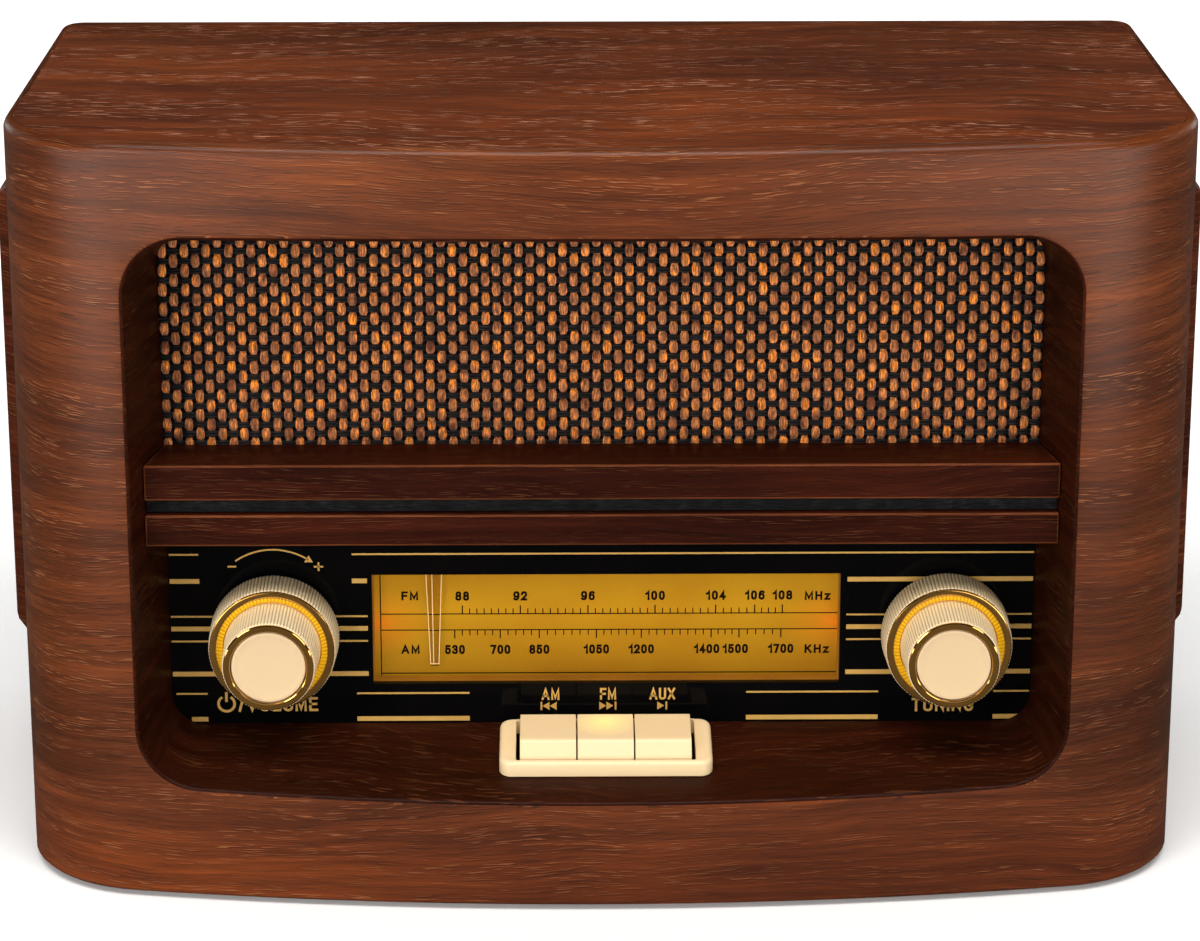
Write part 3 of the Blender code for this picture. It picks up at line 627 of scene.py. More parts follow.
def front_edge(lips):
    """Points (arc length, height) on the front skin's outer edge, one for each point round the opening."""
    def spread(a, b):
        """Even steps from a towards b, without b."""
        return [(a[0] + (b[0] - a[0]) * k / CORNER, a[1] + (b[1] - a[1]) * k / CORNER) for k in range(CORNER)]

    right = ALONG + ROUND
    top = right + UP + ROUND
    left = top + ALONG + ROUND
    s, end = -lips[0][0], FRONT_HALF
    base, low, high, lid = BASE_CHAMFER, lips[right][1], lips[right + UP][1], LID_START
    edge = [(lip[0], base) for lip in lips[:ALONG]]
    edge += spread((s, base), (end, base)) + spread((end, base), (end, low))
    edge += [(end, lip[1]) for lip in lips[right:right + UP]]
    edge += spread((end, high), (end, lid)) + spread((end, lid), (s, lid))
    edge += [(lip[0], lid) for lip in lips[top:top + ALONG]]
    edge += spread((-s, lid), (-end, lid)) + spread((-end, lid), (-end, high))
    edge += [(-end, lip[1]) for lip in lips[left:left + UP]]
    return edge + spread((-end, low), (-end, base)) + spread((-end, base), (-s, base))


class Skin:
    """Vertices with their places on the grain map, and the faces through them."""

    def __init__(self):
        self.verts, self.grain, self.faces = [], [], []

    def vert(self, x, y, z, u, v):
        self.verts.append((x, y, z))
        self.grain.append((u * MM, v * MM))
        return len(self.verts) - 1

    def bridge(self, a, b, closed=True):
        for i in range(len(a) if closed else len(a) - 1):
            j = (i + 1) % len(a)
            self.faces.append((a[i], a[j], b[j], b[i]))


def front_skin(skin):
    """The bowed front, its opening and the opening's wall. Returns the outer loop and its places."""
    rim = opening_rim()
    lips = []
    for i, (x, depth, z, nx, nz) in enumerate(rim):
        s, height = arc_at(x + RIM * nx), z + RIM * nz
        lips.append((s, height, (*front_point(s)[:2], height), (x, depth, z), wall(i, depth + RIM)))
    edge = front_edge(lips)
    loops = []
    for k in range(BLENDS + 1):
        loop = []
        for (s0, z0), lip in zip(edge, lips):
            s, z = s0 + (lip[0] - s0) * k / BLENDS, z0 + (lip[1] - z0) * k / BLENDS
            loop.append(skin.vert(*front_point(s)[:2], z, s, z))
        loops.append(loop)
    for k in range(1, 6):
        t = k / 5
        loop = []
        for s, height, a, b, c in lips:
            p = [a[n] * (1 - t) ** 2 + 2 * b[n] * t * (1 - t) + c[n] * t * t for n in range(3)]
            loop.append(skin.vert(*p, s, height))
        loops.append(loop)
    for k in range(1, 7):
        loop = []
        for i, (x, depth, z, nx, nz) in enumerate(rim):
            start = depth + RIM
            d = start + (RECESS_END + GAP - start) * k / 6
            share = (d - OPEN_LEAD) / (RECESS_END - OPEN_LEAD)
            a, b = wall(i, OPEN_LEAD), wall(i, RECESS_END)
            px, pz = a[0] + (b[0] - a[0]) * share, a[2] + (b[2] - a[2]) * share
            u, v = (px, 400 + d) if abs(nz) > abs(nx) else (500 + d, pz)
            loop.append(skin.vert(px, d, pz, u, v))
        loops.append(loop)
    for a, b in zip(loops, loops[1:]):
        skin.bridge(a, b)
    skin.faces.append(tuple(loops[-1]))
    return loops[0], edge


def cabinet_skin():
    """The whole outside of the cabinet: front, sides, back, lid with its rounded edge, and chamfered base."""
    skin = Skin()
    first, edge = front_skin(skin)
    count = len(first)
    path, arcs = back_path()
    right = ALONG + CORNER
    left = 2 * ALONG + 5 * CORNER + UP
    rise = 2 * CORNER + UP
    rows = []
    for r, l in zip(first[right:right + rise + 1], first[left:left + rise + 1][::-1]):
        z = skin.verts[r][2]
        rows.append([r] + [skin.vert(x, y, z, u, z) for (x, y, _, _), u in zip(path[:-1], arcs)] + [l])
    for a, b in zip(rows, rows[1:]):
        skin.bridge(a, b, closed=False)

    def close_over(indices, row, levels):
        """Carries the walls' end inwards through levels (inset, height, place on the grain map)."""
        plan = [(*front_point(edge[i % count][0]), edge[i % count][0]) for i in indices]
        plan += [(*point, u) for point, u in zip(path[:-1], arcs)]
        ring = [first[i % count] for i in indices] + row[1:-1]
        for inset, z, v in levels:
            new = [skin.vert(x - nx * inset, y - ny * inset, z, u, v) for x, y, nx, ny, u in plan]
            skin.bridge(ring, new)
            ring = new
        skin.faces.append(tuple(ring))

    turn = [math.pi / 2 * k / 6 for k in range(1, 7)]
    close_over(range(left, right + rise - 1, -1), rows[-1],
               [(TOP_ROUND * (1 - math.cos(a)), LID_START + TOP_ROUND * math.sin(a),
                 LID_START + TOP_ROUND * a) for a in turn])
    close_over(range(left + rise, count + right + 1), rows[0], [(BASE_CHAMFER, 0.0, -0.4)])
    return skin


def cabinet_shell():
    """One veneered shell in place of the CAD's boards and frame, hollow at the back."""
    skin = cabinet_skin()
    boards = ("front_frame", "top_board", "bottom_board", "side_board_left", "side_board_right")
    shell = piece("cabinet_shell", skin.verts, skin.faces, WALNUT, replaces=boards, slot="walnut", smooth=0,
                  uvs=skin.grain)
    inner = HALF_W - BOARD_T
    behind = CABINET_D + 9
    cloth_x, _, cloth_z = span("grille_cloth")
    plate_z = span("dial_plate")[2]
    cover_x, cover_y, cover_z = span("rear_cover")
    bezel_x, bezel_y, _ = span("button_bezel")
    board_z = span("key_board")[2]

    def wider(low, high):
        return low - GAP, high + GAP

    # Room for the cloth and the dial plate, the inside, the rear cover's seat, and the slot under the keys
    cut_away(shell, [
        box_faces(wider(*cloth_x), (RECESS_END, FRAME_D + 1), wider(plate_z[0], cloth_z[1])),
        box_faces((-inner, inner), (FRAME_D, behind), (BOARD_T, CABINET_H - BOARD_T)),
        box_faces(wider(*cover_x), (cover_y[0] - GAP, behind), wider(*cover_z)),
        box_faces((bezel_x[0] + 4.5, bezel_x[1] - 4.6), (bezel_y[0] + 1.7, bezel_y[1] - 1.2),
                  (board_z[0] - GAP, SLOT_TOP))])
    for k in range(1, 5):
        x, y, z = span("foot_%d" % k)
        hole = arc(middle(x), middle(y), FOOT_HOLE_R, 0, 360, 32)[:-1]
        cut_away(shell, [loft_mesh([[(a, b, h) for a, b in hole] for h in (-3.0, z[1] + GAP)])])
    shell.data.name = "cabinet_shell"
    soften(shell.data, 32)
    stain_by_face(shell.data)


def stain_by_face(mesh):
    """The darker stain and painted shade inside the opening and behind it, and the grain map of all flat and
    cut faces.
    """
    mesh.materials.clear()
    mesh.materials.append(WALNUT)
    mesh.materials.append(RECESS)
    side = HALF_W - 30.0
    grain = mesh.uv_layers["grain"].data
    for face in mesh.polygons:
        n = face.normal
        x, depth, z = face.center.x / MM, (face.center.y - FRONT_Y) / MM, (face.center.z - BASE_Z) / MM
        bow = front_point(arc_at(max(-side, min(side, x))))[1]
        inside = abs(x) < side and OPEN_BOTTOM - 1 < z < OPEN_TOP + 1 and bow + 0.12 < depth < CABINET_D - 1
        face.material_index = 1 if inside else 0
        if inside or z > CABINET_H - 0.05 or z < 0.05 or n.y > 0.8:
            for k in face.loop_indices:
                x, y, z = mesh.vertices[mesh.loops[k].vertex_index].co
                if abs(n.x) > 0.7:
                    grain[k].uv = (y, z)
                else:
                    grain[k].uv = (x, y * LID_GRAIN if abs(n.z) > 0.6 else z)


cabinet_shell()


# ---------------------------------------------------------------- wooden trims and rails

def side_trim(name, sign):
    """A raised panel on the cabinet's side, with a broad chamfer."""
    ends, y, z = span(name)
    root, face = ends[::sign]
    rings = []
    for share, inset in ((0.0, 0.0), (0.18, 0.0), (0.26, 0.25), (0.93, 5.0), (1.0, 6.2)):
        outline = round_rect(y[0] + inset, y[1] - inset, z[0] + inset, z[1] - inset, 4.5 - inset * 0.4, 5)
        rings.append([(root + (face - root) * share, a, b) for a, b in outline])
    trim = piece(name + "_wood", *loft_mesh(rings), WALNUT_DARK, replaces=(name,), slot="walnut", smooth=20)
    grain_by_face(trim, 0.3 * sign)


def rail(name, material, slot, shift, ease=0.0):
    """A bar across the opening, its ends along the tapered walls. Its eased edges are stained paler as a
    painted highlight.
    """
    x, y, z = span(name)
    back = OPEN_HALF_W - OPEN_TAPER * y[1] - GAP
    plan = [(x[0], y[0]), (x[1], y[0]), (back, y[1]), (-back, y[1])]
    rings = [[(a, b, h) for a, b in plan] for h in z]
    part = piece(name + "_bar", *loft_mesh(rings), material, replaces=(name,), slot=slot, smooth=0)
    grain_by_face(part, shift)
    if ease:
        # Painted highlight: the bevel's faces take the paler walnut.
        part.data.materials.append(RAIL_EDGE_HIGHLIGHT)
        bevelled(part, ease, 3).material = 1


side_trim("side_trim_left", -1)
side_trim("side_trim_right", 1)
rail("upper_rail", RAIL, "walnut", 0.15, 0.55)
rail("lower_rail", RAIL, "walnut", 0.75, 0.55)
rail("groove_strip", FELT, "black_felt", 0.75)


# ---------------------------------------------------------------- speaker cloth

COLUMN_PITCH = 3.0
ROW_PITCH = 2.72
WARP_WIDE, WARP_THICK, WARP_RISE = 1.75, 1.05, 0.6
FLOAT_SWELL = 0.6  # how much wider a warp thread is where it floats on top
WEFT_WIDE, WEFT_THICK, WEFT_RISE = 0.84, 0.7, 0.5
WEFT_PAIR = 0.4  # half the distance between the two threads of a pair


def thread(path, across, thick, widths, sides):
    """A flattened thread along a path of points. across is the thread's wide direction."""
    rings = []
    for i, (p, wide) in enumerate(zip(path, widths)):
        a, b = Vector(path[max(i - 1, 0)]), Vector(path[min(i + 1, len(path) - 1)])
        normal = (b - a).normalized().cross(across)
        turns = np.arange(sides) * 2 * math.pi / sides
        wide_half, thick_half = across * (wide / 2), normal * (thick / 2)
        rings.append([tuple(Vector(p) + wide_half * math.cos(t) + thick_half * math.sin(t))
                      for t in turns])
    return loft_mesh(rings)


def warp_threads(columns, rows, left, plane, low):
    wander = np.random.default_rng(7)
    for c in range(columns):
        path, widths = [], []
        for k in range(rows * 8 + 1):
            z = low + k * ROW_PITCH / 8
            wave = math.sin(math.pi * ((z - low) / ROW_PITCH + c))
            x = left + c * COLUMN_PITCH + 0.1 * math.sin(z * 0.21 + c) + wander.normal(0, 0.025)
            path.append((x, plane - WARP_RISE * math.copysign(abs(wave) ** 0.5, wave), z))
            widths.append(WARP_WIDE + FLOAT_SWELL * max(wave, 0.0) ** 0.35)
        yield thread(path, Vector((1, 0, 0)), WARP_THICK, widths, 12)


def weft_threads(columns, rows, left, plane, low, high):
    for r in range(rows + 1):
        for shift in (-WEFT_PAIR, WEFT_PAIR):
            z = low + (r + 0.5) * ROW_PITCH + shift
            if z > high - 0.6:
                continue
            path = []
            for k in range(columns * 6 + 1):
                x = left - COLUMN_PITCH / 2 + k * COLUMN_PITCH / 6
                wave = math.cos(math.pi * ((x - left) / COLUMN_PITCH + r))
                height = z + 0.1 * math.sin(x * 0.19 + r) - 0.12 * wave * shift
                path.append((x, plane + WEFT_RISE * wave, height))
            yield thread(path, Vector((0, 0, 1)), WEFT_THICK, [WEFT_WIDE] * len(path), 8)


def speaker_cloth():
    """Plain weave: brown warp floats over pairs of black weft threads, on a black backing cloth."""
    (x0, x1), (y0, y1), (_, high) = span("grille_cloth")
    low = span("upper_rail")[2][0] + 3.2
    wide, tall = x1 - x0, high - low
    columns, rows = int(wide / COLUMN_PITCH), int(tall / ROW_PITCH)
    plane = y0 + 0.1
    left = (x0 + x1) / 2 - (columns - 1) * COLUMN_PITCH / 2
    threads = merged(warp_threads(columns, rows, left, plane, low))
    warp = piece("grille_warp", *threads, WARP, slot="cloth", smooth=80)
    threads = merged(weft_threads(columns, rows, left, plane, low, high))
    weft = piece("grille_weft", *threads, WEFT, slot="cloth", smooth=80)
    across, up = 60, 20
    verts = [(x0 + wide * i / across, y1 - 0.06 + 0.04 * math.sin(i) * math.sin(j), low + tall * j / up)
             for j in range(up + 1) for i in range(across + 1)]
    row = across + 1
    corners = [j * row + i for j in range(up) for i in range(across)]
    faces = [(k, k + 1, k + row + 1, k + row) for k in corners]
    backing = piece("grille_backing", verts, faces, BACKING, replaces=("grille_cloth",), slot="cloth",
                    smooth=80)


speaker_cloth()


# ---------------------------------------------------------------- dial

PRINT_DEEP = 0.08  # how far a print stands out of its plane
PRINT_SUNK = 0.02


def bar(x0, x1, z, thick, y, deep=PRINT_DEEP):
    return box_faces((x0, x1), (y - deep, y + PRINT_SUNK), (z - thick / 2, z + thick / 2))


def flat_shape(points, y):
    """A thin plate with the given (x, z) outline, proud of the plane y."""
    return loft_mesh([[(x, d, z) for x, z in points] for d in (y - PRINT_DEEP, y + PRINT_SUNK)])


def curve(cx, cy, rx, ry, start, end, steps=14):
    """Points on an ellipse, squarish like the bowls of a grotesque letter."""
    pts = []
    for k in range(steps + 1):
        a = math.radians(start + (end - start) * k / steps)
        c, d = math.cos(a), math.sin(a)
        pts.append((cx + rx * math.copysign(abs(c) ** 0.82, c), cy + ry * math.copysign(abs(d) ** 0.82, d)))
    return pts


# Width of each letter and its strokes, for a cap height of 1
W = 0.46
LETTERS = {
    "0": (W, [curve(W / 2, 0.5, W / 2, 0.5, 90, 450, 28)]),
    "1": (0.26, [[(0.0, 0.72), (0.16, 0.8), (0.26, 1.0), (0.26, 0.0)]]),
    "2": (W, [curve(W / 2, 0.71, W / 2, 0.29, 175, -30) + [(0.0, 0.0), (W, 0.0)]]),
    "3": (W, [curve(W / 2, 0.76, W / 2 - 0.02, 0.24, 165, -90), curve(W / 2, 0.26, W / 2, 0.26, 90, -165)]),
    "4": (W, [[(0.34, 0.0), (0.34, 1.0), (0.0, 0.3), (0.5, 0.3)]]),
    "5": (W, [[(0.42, 1.0), (0.07, 1.0), (0.02, 0.5)] + curve(W / 2, 0.32, W / 2, 0.32, 140, -165)]),
    "6": (W, [curve(W / 2, 0.31, W / 2, 0.31, 90, 450, 24), curve(0.27, 0.5, 0.27, 0.5, 50, 190)]),
    "7": (W, [[(0.0, 1.0), (0.46, 1.0), (0.17, 0.0)]]),
    "8": (W, [curve(W / 2, 0.76, W / 2 - 0.03, 0.24, 90, 450, 24),
              curve(W / 2, 0.26, W / 2, 0.26, 90, 450, 24)]),
    "9": (W, [curve(W / 2, 0.69, W / 2, 0.31, 90, 450, 24), curve(0.19, 0.5, 0.27, 0.5, 230, 370)]),
    "A": (0.58, [[(0.0, 0.0), (0.29, 1.0), (0.58, 0.0)], [(0.1, 0.3), (0.48, 0.3)]]),
    "E": (0.44, [[(0.44, 1.0), (0.0, 1.0), (0.0, 0.0), (0.46, 0.0)], [(0.0, 0.52), (0.4, 0.52)]]),
    "F": (0.42, [[(0.44, 1.0), (0.0, 1.0), (0.0, 0.0)], [(0.0, 0.5), (0.38, 0.5)]]),
    "G": (0.54, [curve(0.27, 0.5, 0.27, 0.5, 40, 360, 20) + [(0.54, 0.42), (0.32, 0.42)]]),
    "H": (0.5, [[(0.0, 0.0), (0.0, 1.0)], [(0.5, 0.0), (0.5, 1.0)], [(0.0, 0.52), (0.5, 0.52)]]),
    "I": (0.0, [[(0.0, 0.0), (0.0, 1.0)]]),
    "K": (0.5, [[(0.0, 0.0), (0.0, 1.0)], [(0.48, 1.0), (0.04, 0.42)], [(0.18, 0.58), (0.52, 0.0)]]),
    "L": (0.42, [[(0.0, 1.0), (0.0, 0.0), (0.42, 0.0)]]),
    "M": (0.62, [[(0.0, 0.0), (0.0, 1.0), (0.31, 0.12), (0.62, 1.0), (0.62, 0.0)]]),
    "N": (0.5, [[(0.0, 0.0), (0.0, 1.0), (0.5, 0.0), (0.5, 1.0)]]),
    "O": (0.56, [curve(0.28, 0.5, 0.28, 0.5, 90, 450, 28)]),
    "T": (0.5, [[(0.0, 1.0), (0.5, 1.0)], [(0.25, 1.0), (0.25, 0.0)]]),
    "U": (0.5, [[(0.0, 1.0)] + curve(0.25, 0.26, 0.25, 0.26, 180, 360) + [(0.5, 1.0)]]),
    "V": (0.54, [[(0.0, 1.0), (0.27, 0.0), (0.54, 1.0)]]),
    "X": (0.54, [[(0.0, 0.0), (0.54, 1.0)], [(0.0, 1.0), (0.54, 0.0)]]),
    "z": (0.38, [[(0.0, 0.7), (0.36, 0.7), (0.0, 0.0), (0.38, 0.0)]]),
    "/": (0.26, [[(0.0, -0.04), (0.26, 1.04)]]),
}


def stroke(points, thick, y, deep=PRINT_DEEP):
    """A band of even width along a line of (x, z) points. A line that comes back to its start is closed."""
    closed = math.dist(points[0], points[-1]) < 1e-6
    pts = points[:-1] if closed else list(points)
    if not closed:
        for end, near in ((0, 1), (-1, -2)):
            way = (Vector(pts[end]) - Vector(pts[near])).normalized() * thick / 2
            pts[end] = (pts[end][0] + way.x, pts[end][1] + way.y)
    n = len(pts)
    sides = ([], [])
    for i, (x, z) in enumerate(pts):
        a = pts[i - 1] if closed or i else None
        b = pts[(i + 1) % n] if closed or i < n - 1 else None
        into = Vector((x - a[0], z - a[1])).normalized() if a else None
        out = Vector((b[0] - x, b[1] - z)).normalized() if b else None
        way = ((into or out) + (out or into)).normalized()
        across = Vector((-way.y, way.x))
        reach = min(1 / max(abs(across.dot(Vector((-(out or into).y, (out or into).x)))), 0.2), 2.4)
        for side, sign in zip(sides, (0.5, -0.5)):
            side.append((x + across.x * thick * sign * reach, z + across.y * thick * sign * reach))
    verts = [(x, d, z) for d in (y - deep, y + PRINT_SUNK) for side in sides for x, z in side]
    faces = []
    for i in range(n if closed else n - 1):
        j = (i + 1) % n
        faces += [(a + i, a + j, b + j, b + i) for a, b in ((0, n), (2 * n, 3 * n), (0, 2 * n), (n, 3 * n))]
    if not closed:
        faces += [(0, n, 3 * n, 2 * n), (n - 1, 2 * n - 1, 4 * n - 1, 3 * n - 1)]
    return verts, faces


def lettering(text, x, z, cap, y, width=1.0, weight=0.17, gap=0.2, align="CENTER", deep=0.05):
    """Bold words as raised strokes, cap millimetres high, their middle at height z."""
    wide = sum(LETTERS[c][0] + weight for c in text) + gap * (len(text) - 1)
    scale = cap * width
    left = x - (wide * scale / 2 if align == "CENTER" else 0.0) + weight * scale / 2
    tall = 1 - weight
    parts = []
    for c in text:
        for line in LETTERS[c][1]:
            pts = [(left + px * scale, z - cap / 2 + (weight / 2 + py * tall) * cap) for px, py in line]
            parts.append(stroke(pts, weight * cap, y, deep))
        left += (LETTERS[c][0] + weight + gap) * scale
    return merged(parts)


THIN, THICK = 0.5, 1.35
PRINT_HALF = 119.4
BY_VOLUME, BY_TUNING = -111.2, 109.4  # ends of the lines outside the knobs
SHAFT_HOLE = 8.0


def rules():
    """The gold lines: height, thickness and spans along x. Lines behind a knob stop short of its shaft."""
    yield 87.3, THIN, (-PRINT_HALF, BY_VOLUME - 0.1), (-69.0, PRINT_HALF)
    yield 79.5, THICK, (-PRINT_HALF, BY_VOLUME), (-69.1, -64.9), (68.0, PRINT_HALF)
    for z, thick in ((69.1, THIN), (65.5, THICK), (61.8, THIN), (52.1, THICK)):
        yield (z, thick, (-PRINT_HALF, VOLUME[0] - SHAFT_HOLE), (VOLUME[0] + SHAFT_HOLE, -64.9),
               (67.9, TUNING[0] - SHAFT_HOLE), (TUNING[0] + SHAFT_HOLE, PRINT_HALF))
    for z, thick, first, last in ((46.2, THIN, -118.6, PRINT_HALF), (38.6, THICK, -114.5, 117.3)):
        yield z, thick, (first, -109.9), (-68.3, -36.9), (40.3, 77.2), (BY_TUNING, last)


def volume_arrow(y):
    """An arc over the knob with an arrowhead, a minus and a plus."""
    x, z = VOLUME[0] - 0.2, 71.0
    tip, low = x + 9.9, z + 14.0
    return [stroke(arc(x, z, 17.7, 125, 57, 24), 0.45, y),
            flat_shape([(tip - 1.2, low), (tip + 1.2, low), (tip, low + 2.0)], y),
            bar(x - 12.5, x - 10.1, 83.8, 0.5, y),
            bar(x + 11.3, x + 13.9, 83.7, 0.5, y), bar(x + 12.35, x + 12.85, 83.7, 2.5, y)]


def power_sign(y):
    x, z = -104.7, 43.2
    return [stroke(arc(x, z, 2.25, 130, 410, 24), 0.72, y), bar(x - 0.36, x + 0.36, z + 2.0, 2.9, y)]


def skip_signs(y):
    """Back, forward and play, under the keys' names."""
    z, half = 42.2, 1.2

    def wedge(x, direction):
        return flat_shape([(x, z - half), (x, z + half), (x + direction * 1.9, z)], y)

    def post(x):
        return bar(x, x + 0.5, z, 2 * half, y)

    return [post(-17.1), wedge(-14.6, -1), wedge(-12.6, -1), wedge(-0.7, 1), wedge(1.3, 1), post(3.6),
            wedge(15.5, 1), post(17.8)]


def dial_print():
    """Gold lines, symbols and words on the black plate."""
    y = DIAL_Y
    parts = [bar(a, b, z, thick, y) for z, thick, *spans in rules() for a, b in spans]
    parts += volume_arrow(y) + power_sign(y) + skip_signs(y)
    parts.append(lettering("/VOLUME", -101.4, 43.0, 4.2, y, 0.95, gap=0.17, align="LEFT"))
    parts.append(lettering("TUNING", TUNING[0], 42.2, 4.0, y, 0.95))
    for text, x in (("AM", -14.3), ("FM", 1.75), ("AUX", 16.9)):
        parts.append(lettering(text, x, 45.75, 3.5, y, 0.8))
    piece("dial_print", *merged(parts), GOLD_PRINT, slot="gold", smooth=0)


FM_LINE, AM_LINE = 67.6, 62.85
FM = ((88, -38.8), (92, -22.65), (96, -3.8), (100, 14.9), (104, 31.8), (106, 42.7), (108, 50.4))
AM = ((530, -41.0), (700, -28.3), (850, -17.4), (1050, -1.45), (1200, 11.1), (1400, 30.6), (1500, 38.4),
      (1700, 50.1))
AM_NUDGE = {1400: -1.2, 1500: -1.0}  # figures set beside their ticks
TICK_PITCH = 2.15


def scale_print():
    """Frequencies, ticks and rules on the lit scale."""
    y = SCALE_Y
    left, right = -61.6, span("dial_scale")[0][1]
    parts = [bar(left, right, FM_LINE, 0.28, y), bar(left, right, AM_LINE, 0.28, y),
             bar(left, right, 50.0, 0.3, y), bar(left - 0.15, left + 0.15, 65.0, 34.0, y)]
    for stations, line, way in ((FM, FM_LINE, 1), (AM, AM_LINE, -1)):
        for (_, a), (_, b) in zip(stations, stations[1:]):
            steps = round((b - a) / TICK_PITCH)
            for k in range(1, steps):
                tick = a + (b - a) * k / steps
                parts.append(bar(tick - 0.14, tick + 0.14, line + way * 0.8, 1.6, y))
        for _, x in stations:
            parts.append(bar(x - 0.17, x + 0.17, line + way * 1.25, 2.5, y))
    for value, x in FM:
        parts.append(lettering(str(value), x, 72.9, 2.75, y, 0.87, 0.23))
    for value, x in AM:
        parts.append(lettering(str(value), x + AM_NUDGE.get(value, 0.0), 57.0, 2.75, y, 0.83, 0.23, 0.17))
    for text, x, z in (("FM", -53.4, 73.0), ("MHz", 60.2, 72.7), ("AM", -53.4, 57.1), ("KHz", 60.2, 56.9)):
        parts.append(lettering(text, x, z, 2.6, y, 1.08, 0.22))
    piece("scale_print", *merged(parts), INK, slot="amber", smooth=0)


def window_frame():
    """Cut edges of the plate, seen through the window, painted with the amber glow the lit scale throws on
    them. The top one leaves room for the pointer.
    """
    (x0, x1), (z0, z1) = WINDOW_X, WINDOW_Z
    front, back = DIAL_Y + 2.0, SCALE_Y - 0.1
    thick = 0.5
    parts = [box_faces(x, (front, back), (z0 - thick, z1 + thick))
             for x in ((x0 - thick, x0), (x1, x1 + thick))]
    parts.append(box_faces((x0, x1), (front, back), (z0 - thick, z0)))
    parts.append(box_faces((x0, x1), (front, span("pointer")[1][0] - GAP), (z1, z1 + thick)))
    piece("window_reveal", *merged(parts), lit_scale_edge(), slot="amber", smooth=0)


def lit_scale_edge():
    # Painted light: amber colour and glow for the plate's edges, lit by the scale.
    s = Shader("amber_edge_painted_glow", Roughness=0.3)
    cloud = s.noise(s.place((60.0, 60.0, 60.0)), 2.0)
    base = s.mix(cloud, srgb(120, 74, 14), srgb(168, 108, 24))
    return s.done(Base_Color=base, Emission_Color=base, Emission_Strength=0.35)


def pointer():
    """Clear acrylic needle with polished edges, whose glints are painted as glowing strips on its front."""
    x, (front, back), (low, high) = span("pointer")
    mid = middle(x)
    half = ((1.2, low), (1.45, low + 0.8), (2.45, low + 31.2), (2.45, high))
    outline = [(mid + w, h) for w, h in half] + [(mid - w, h) for w, h in half[::-1]]
    s = Shader("pointer_acrylic", Roughness=0.03, Transmission_Weight=1.0, IOR=1.3)
    haze = s.noise(s.place((900.0, 900.0, 90.0)), 2.0)
    acrylic = s.done(Base_Color=s.mix(haze, srgb(255, 244, 214), srgb(255, 252, 240)))
    rings = [[(a, depth, h) for a, h in outline] for depth in (front, back)]
    needle = piece("pointer_needle", *loft_mesh(rings), acrylic, "dial_pointer", ("pointer",), "clear", 0)
    bevelled(needle, 0.25, 2)
    # Painted highlights: thin glowing strips along the needle's edges and across its foot.
    edge = plastic("pointer_painted_highlight", srgb(255, 214, 150), 0.3, Emission_Color=srgb(255, 200, 120),
                   Emission_Strength=0.35)
    wide, deep = 0.11, (front - 0.12, front - 0.02)
    lines = [bar(mid - 1.1, mid + 1.1, low + 0.7, 0.25, front - 0.02, 0.1)]
    for top, foot in ((-2.3, -1.15), (-0.55, -0.3), (2.3, 1.15)):
        rings = [[(mid + a - wide, deep[0], h), (mid + a + wide, deep[0], h), (mid + a + wide, deep[1], h),
                  (mid + a - wide, deep[1], h)] for a, h in ((foot, low + 0.6), (top, low + 31.0))]
        lines.append(loft_mesh(rings))
    piece("pointer_highlight_strips", *merged(lines), edge, "dial_pointer", slot="clear", smooth=0)


dress("dial_plate", BLACK)
dress("dial_scale", lit_scale())
dress("dial_window", clear_plastic("window_clear", 0.05))
dial_print()
scale_print()
window_frame()
pointer()


# ---------------------------------------------------------------- knobs

# Radii, from the shaft outwards. A pair is a ring's inner and outer radius.
BORE = 3.3
CAP_R = 10.15
WELL_R = 10.5
FRONT_RING = (10.42, 12.3)
GRIP_R = 13.3
CONE = (13.6, 15.18)
DISH_RING = (15.2, 17.15)
SKIRT_R = 17.95


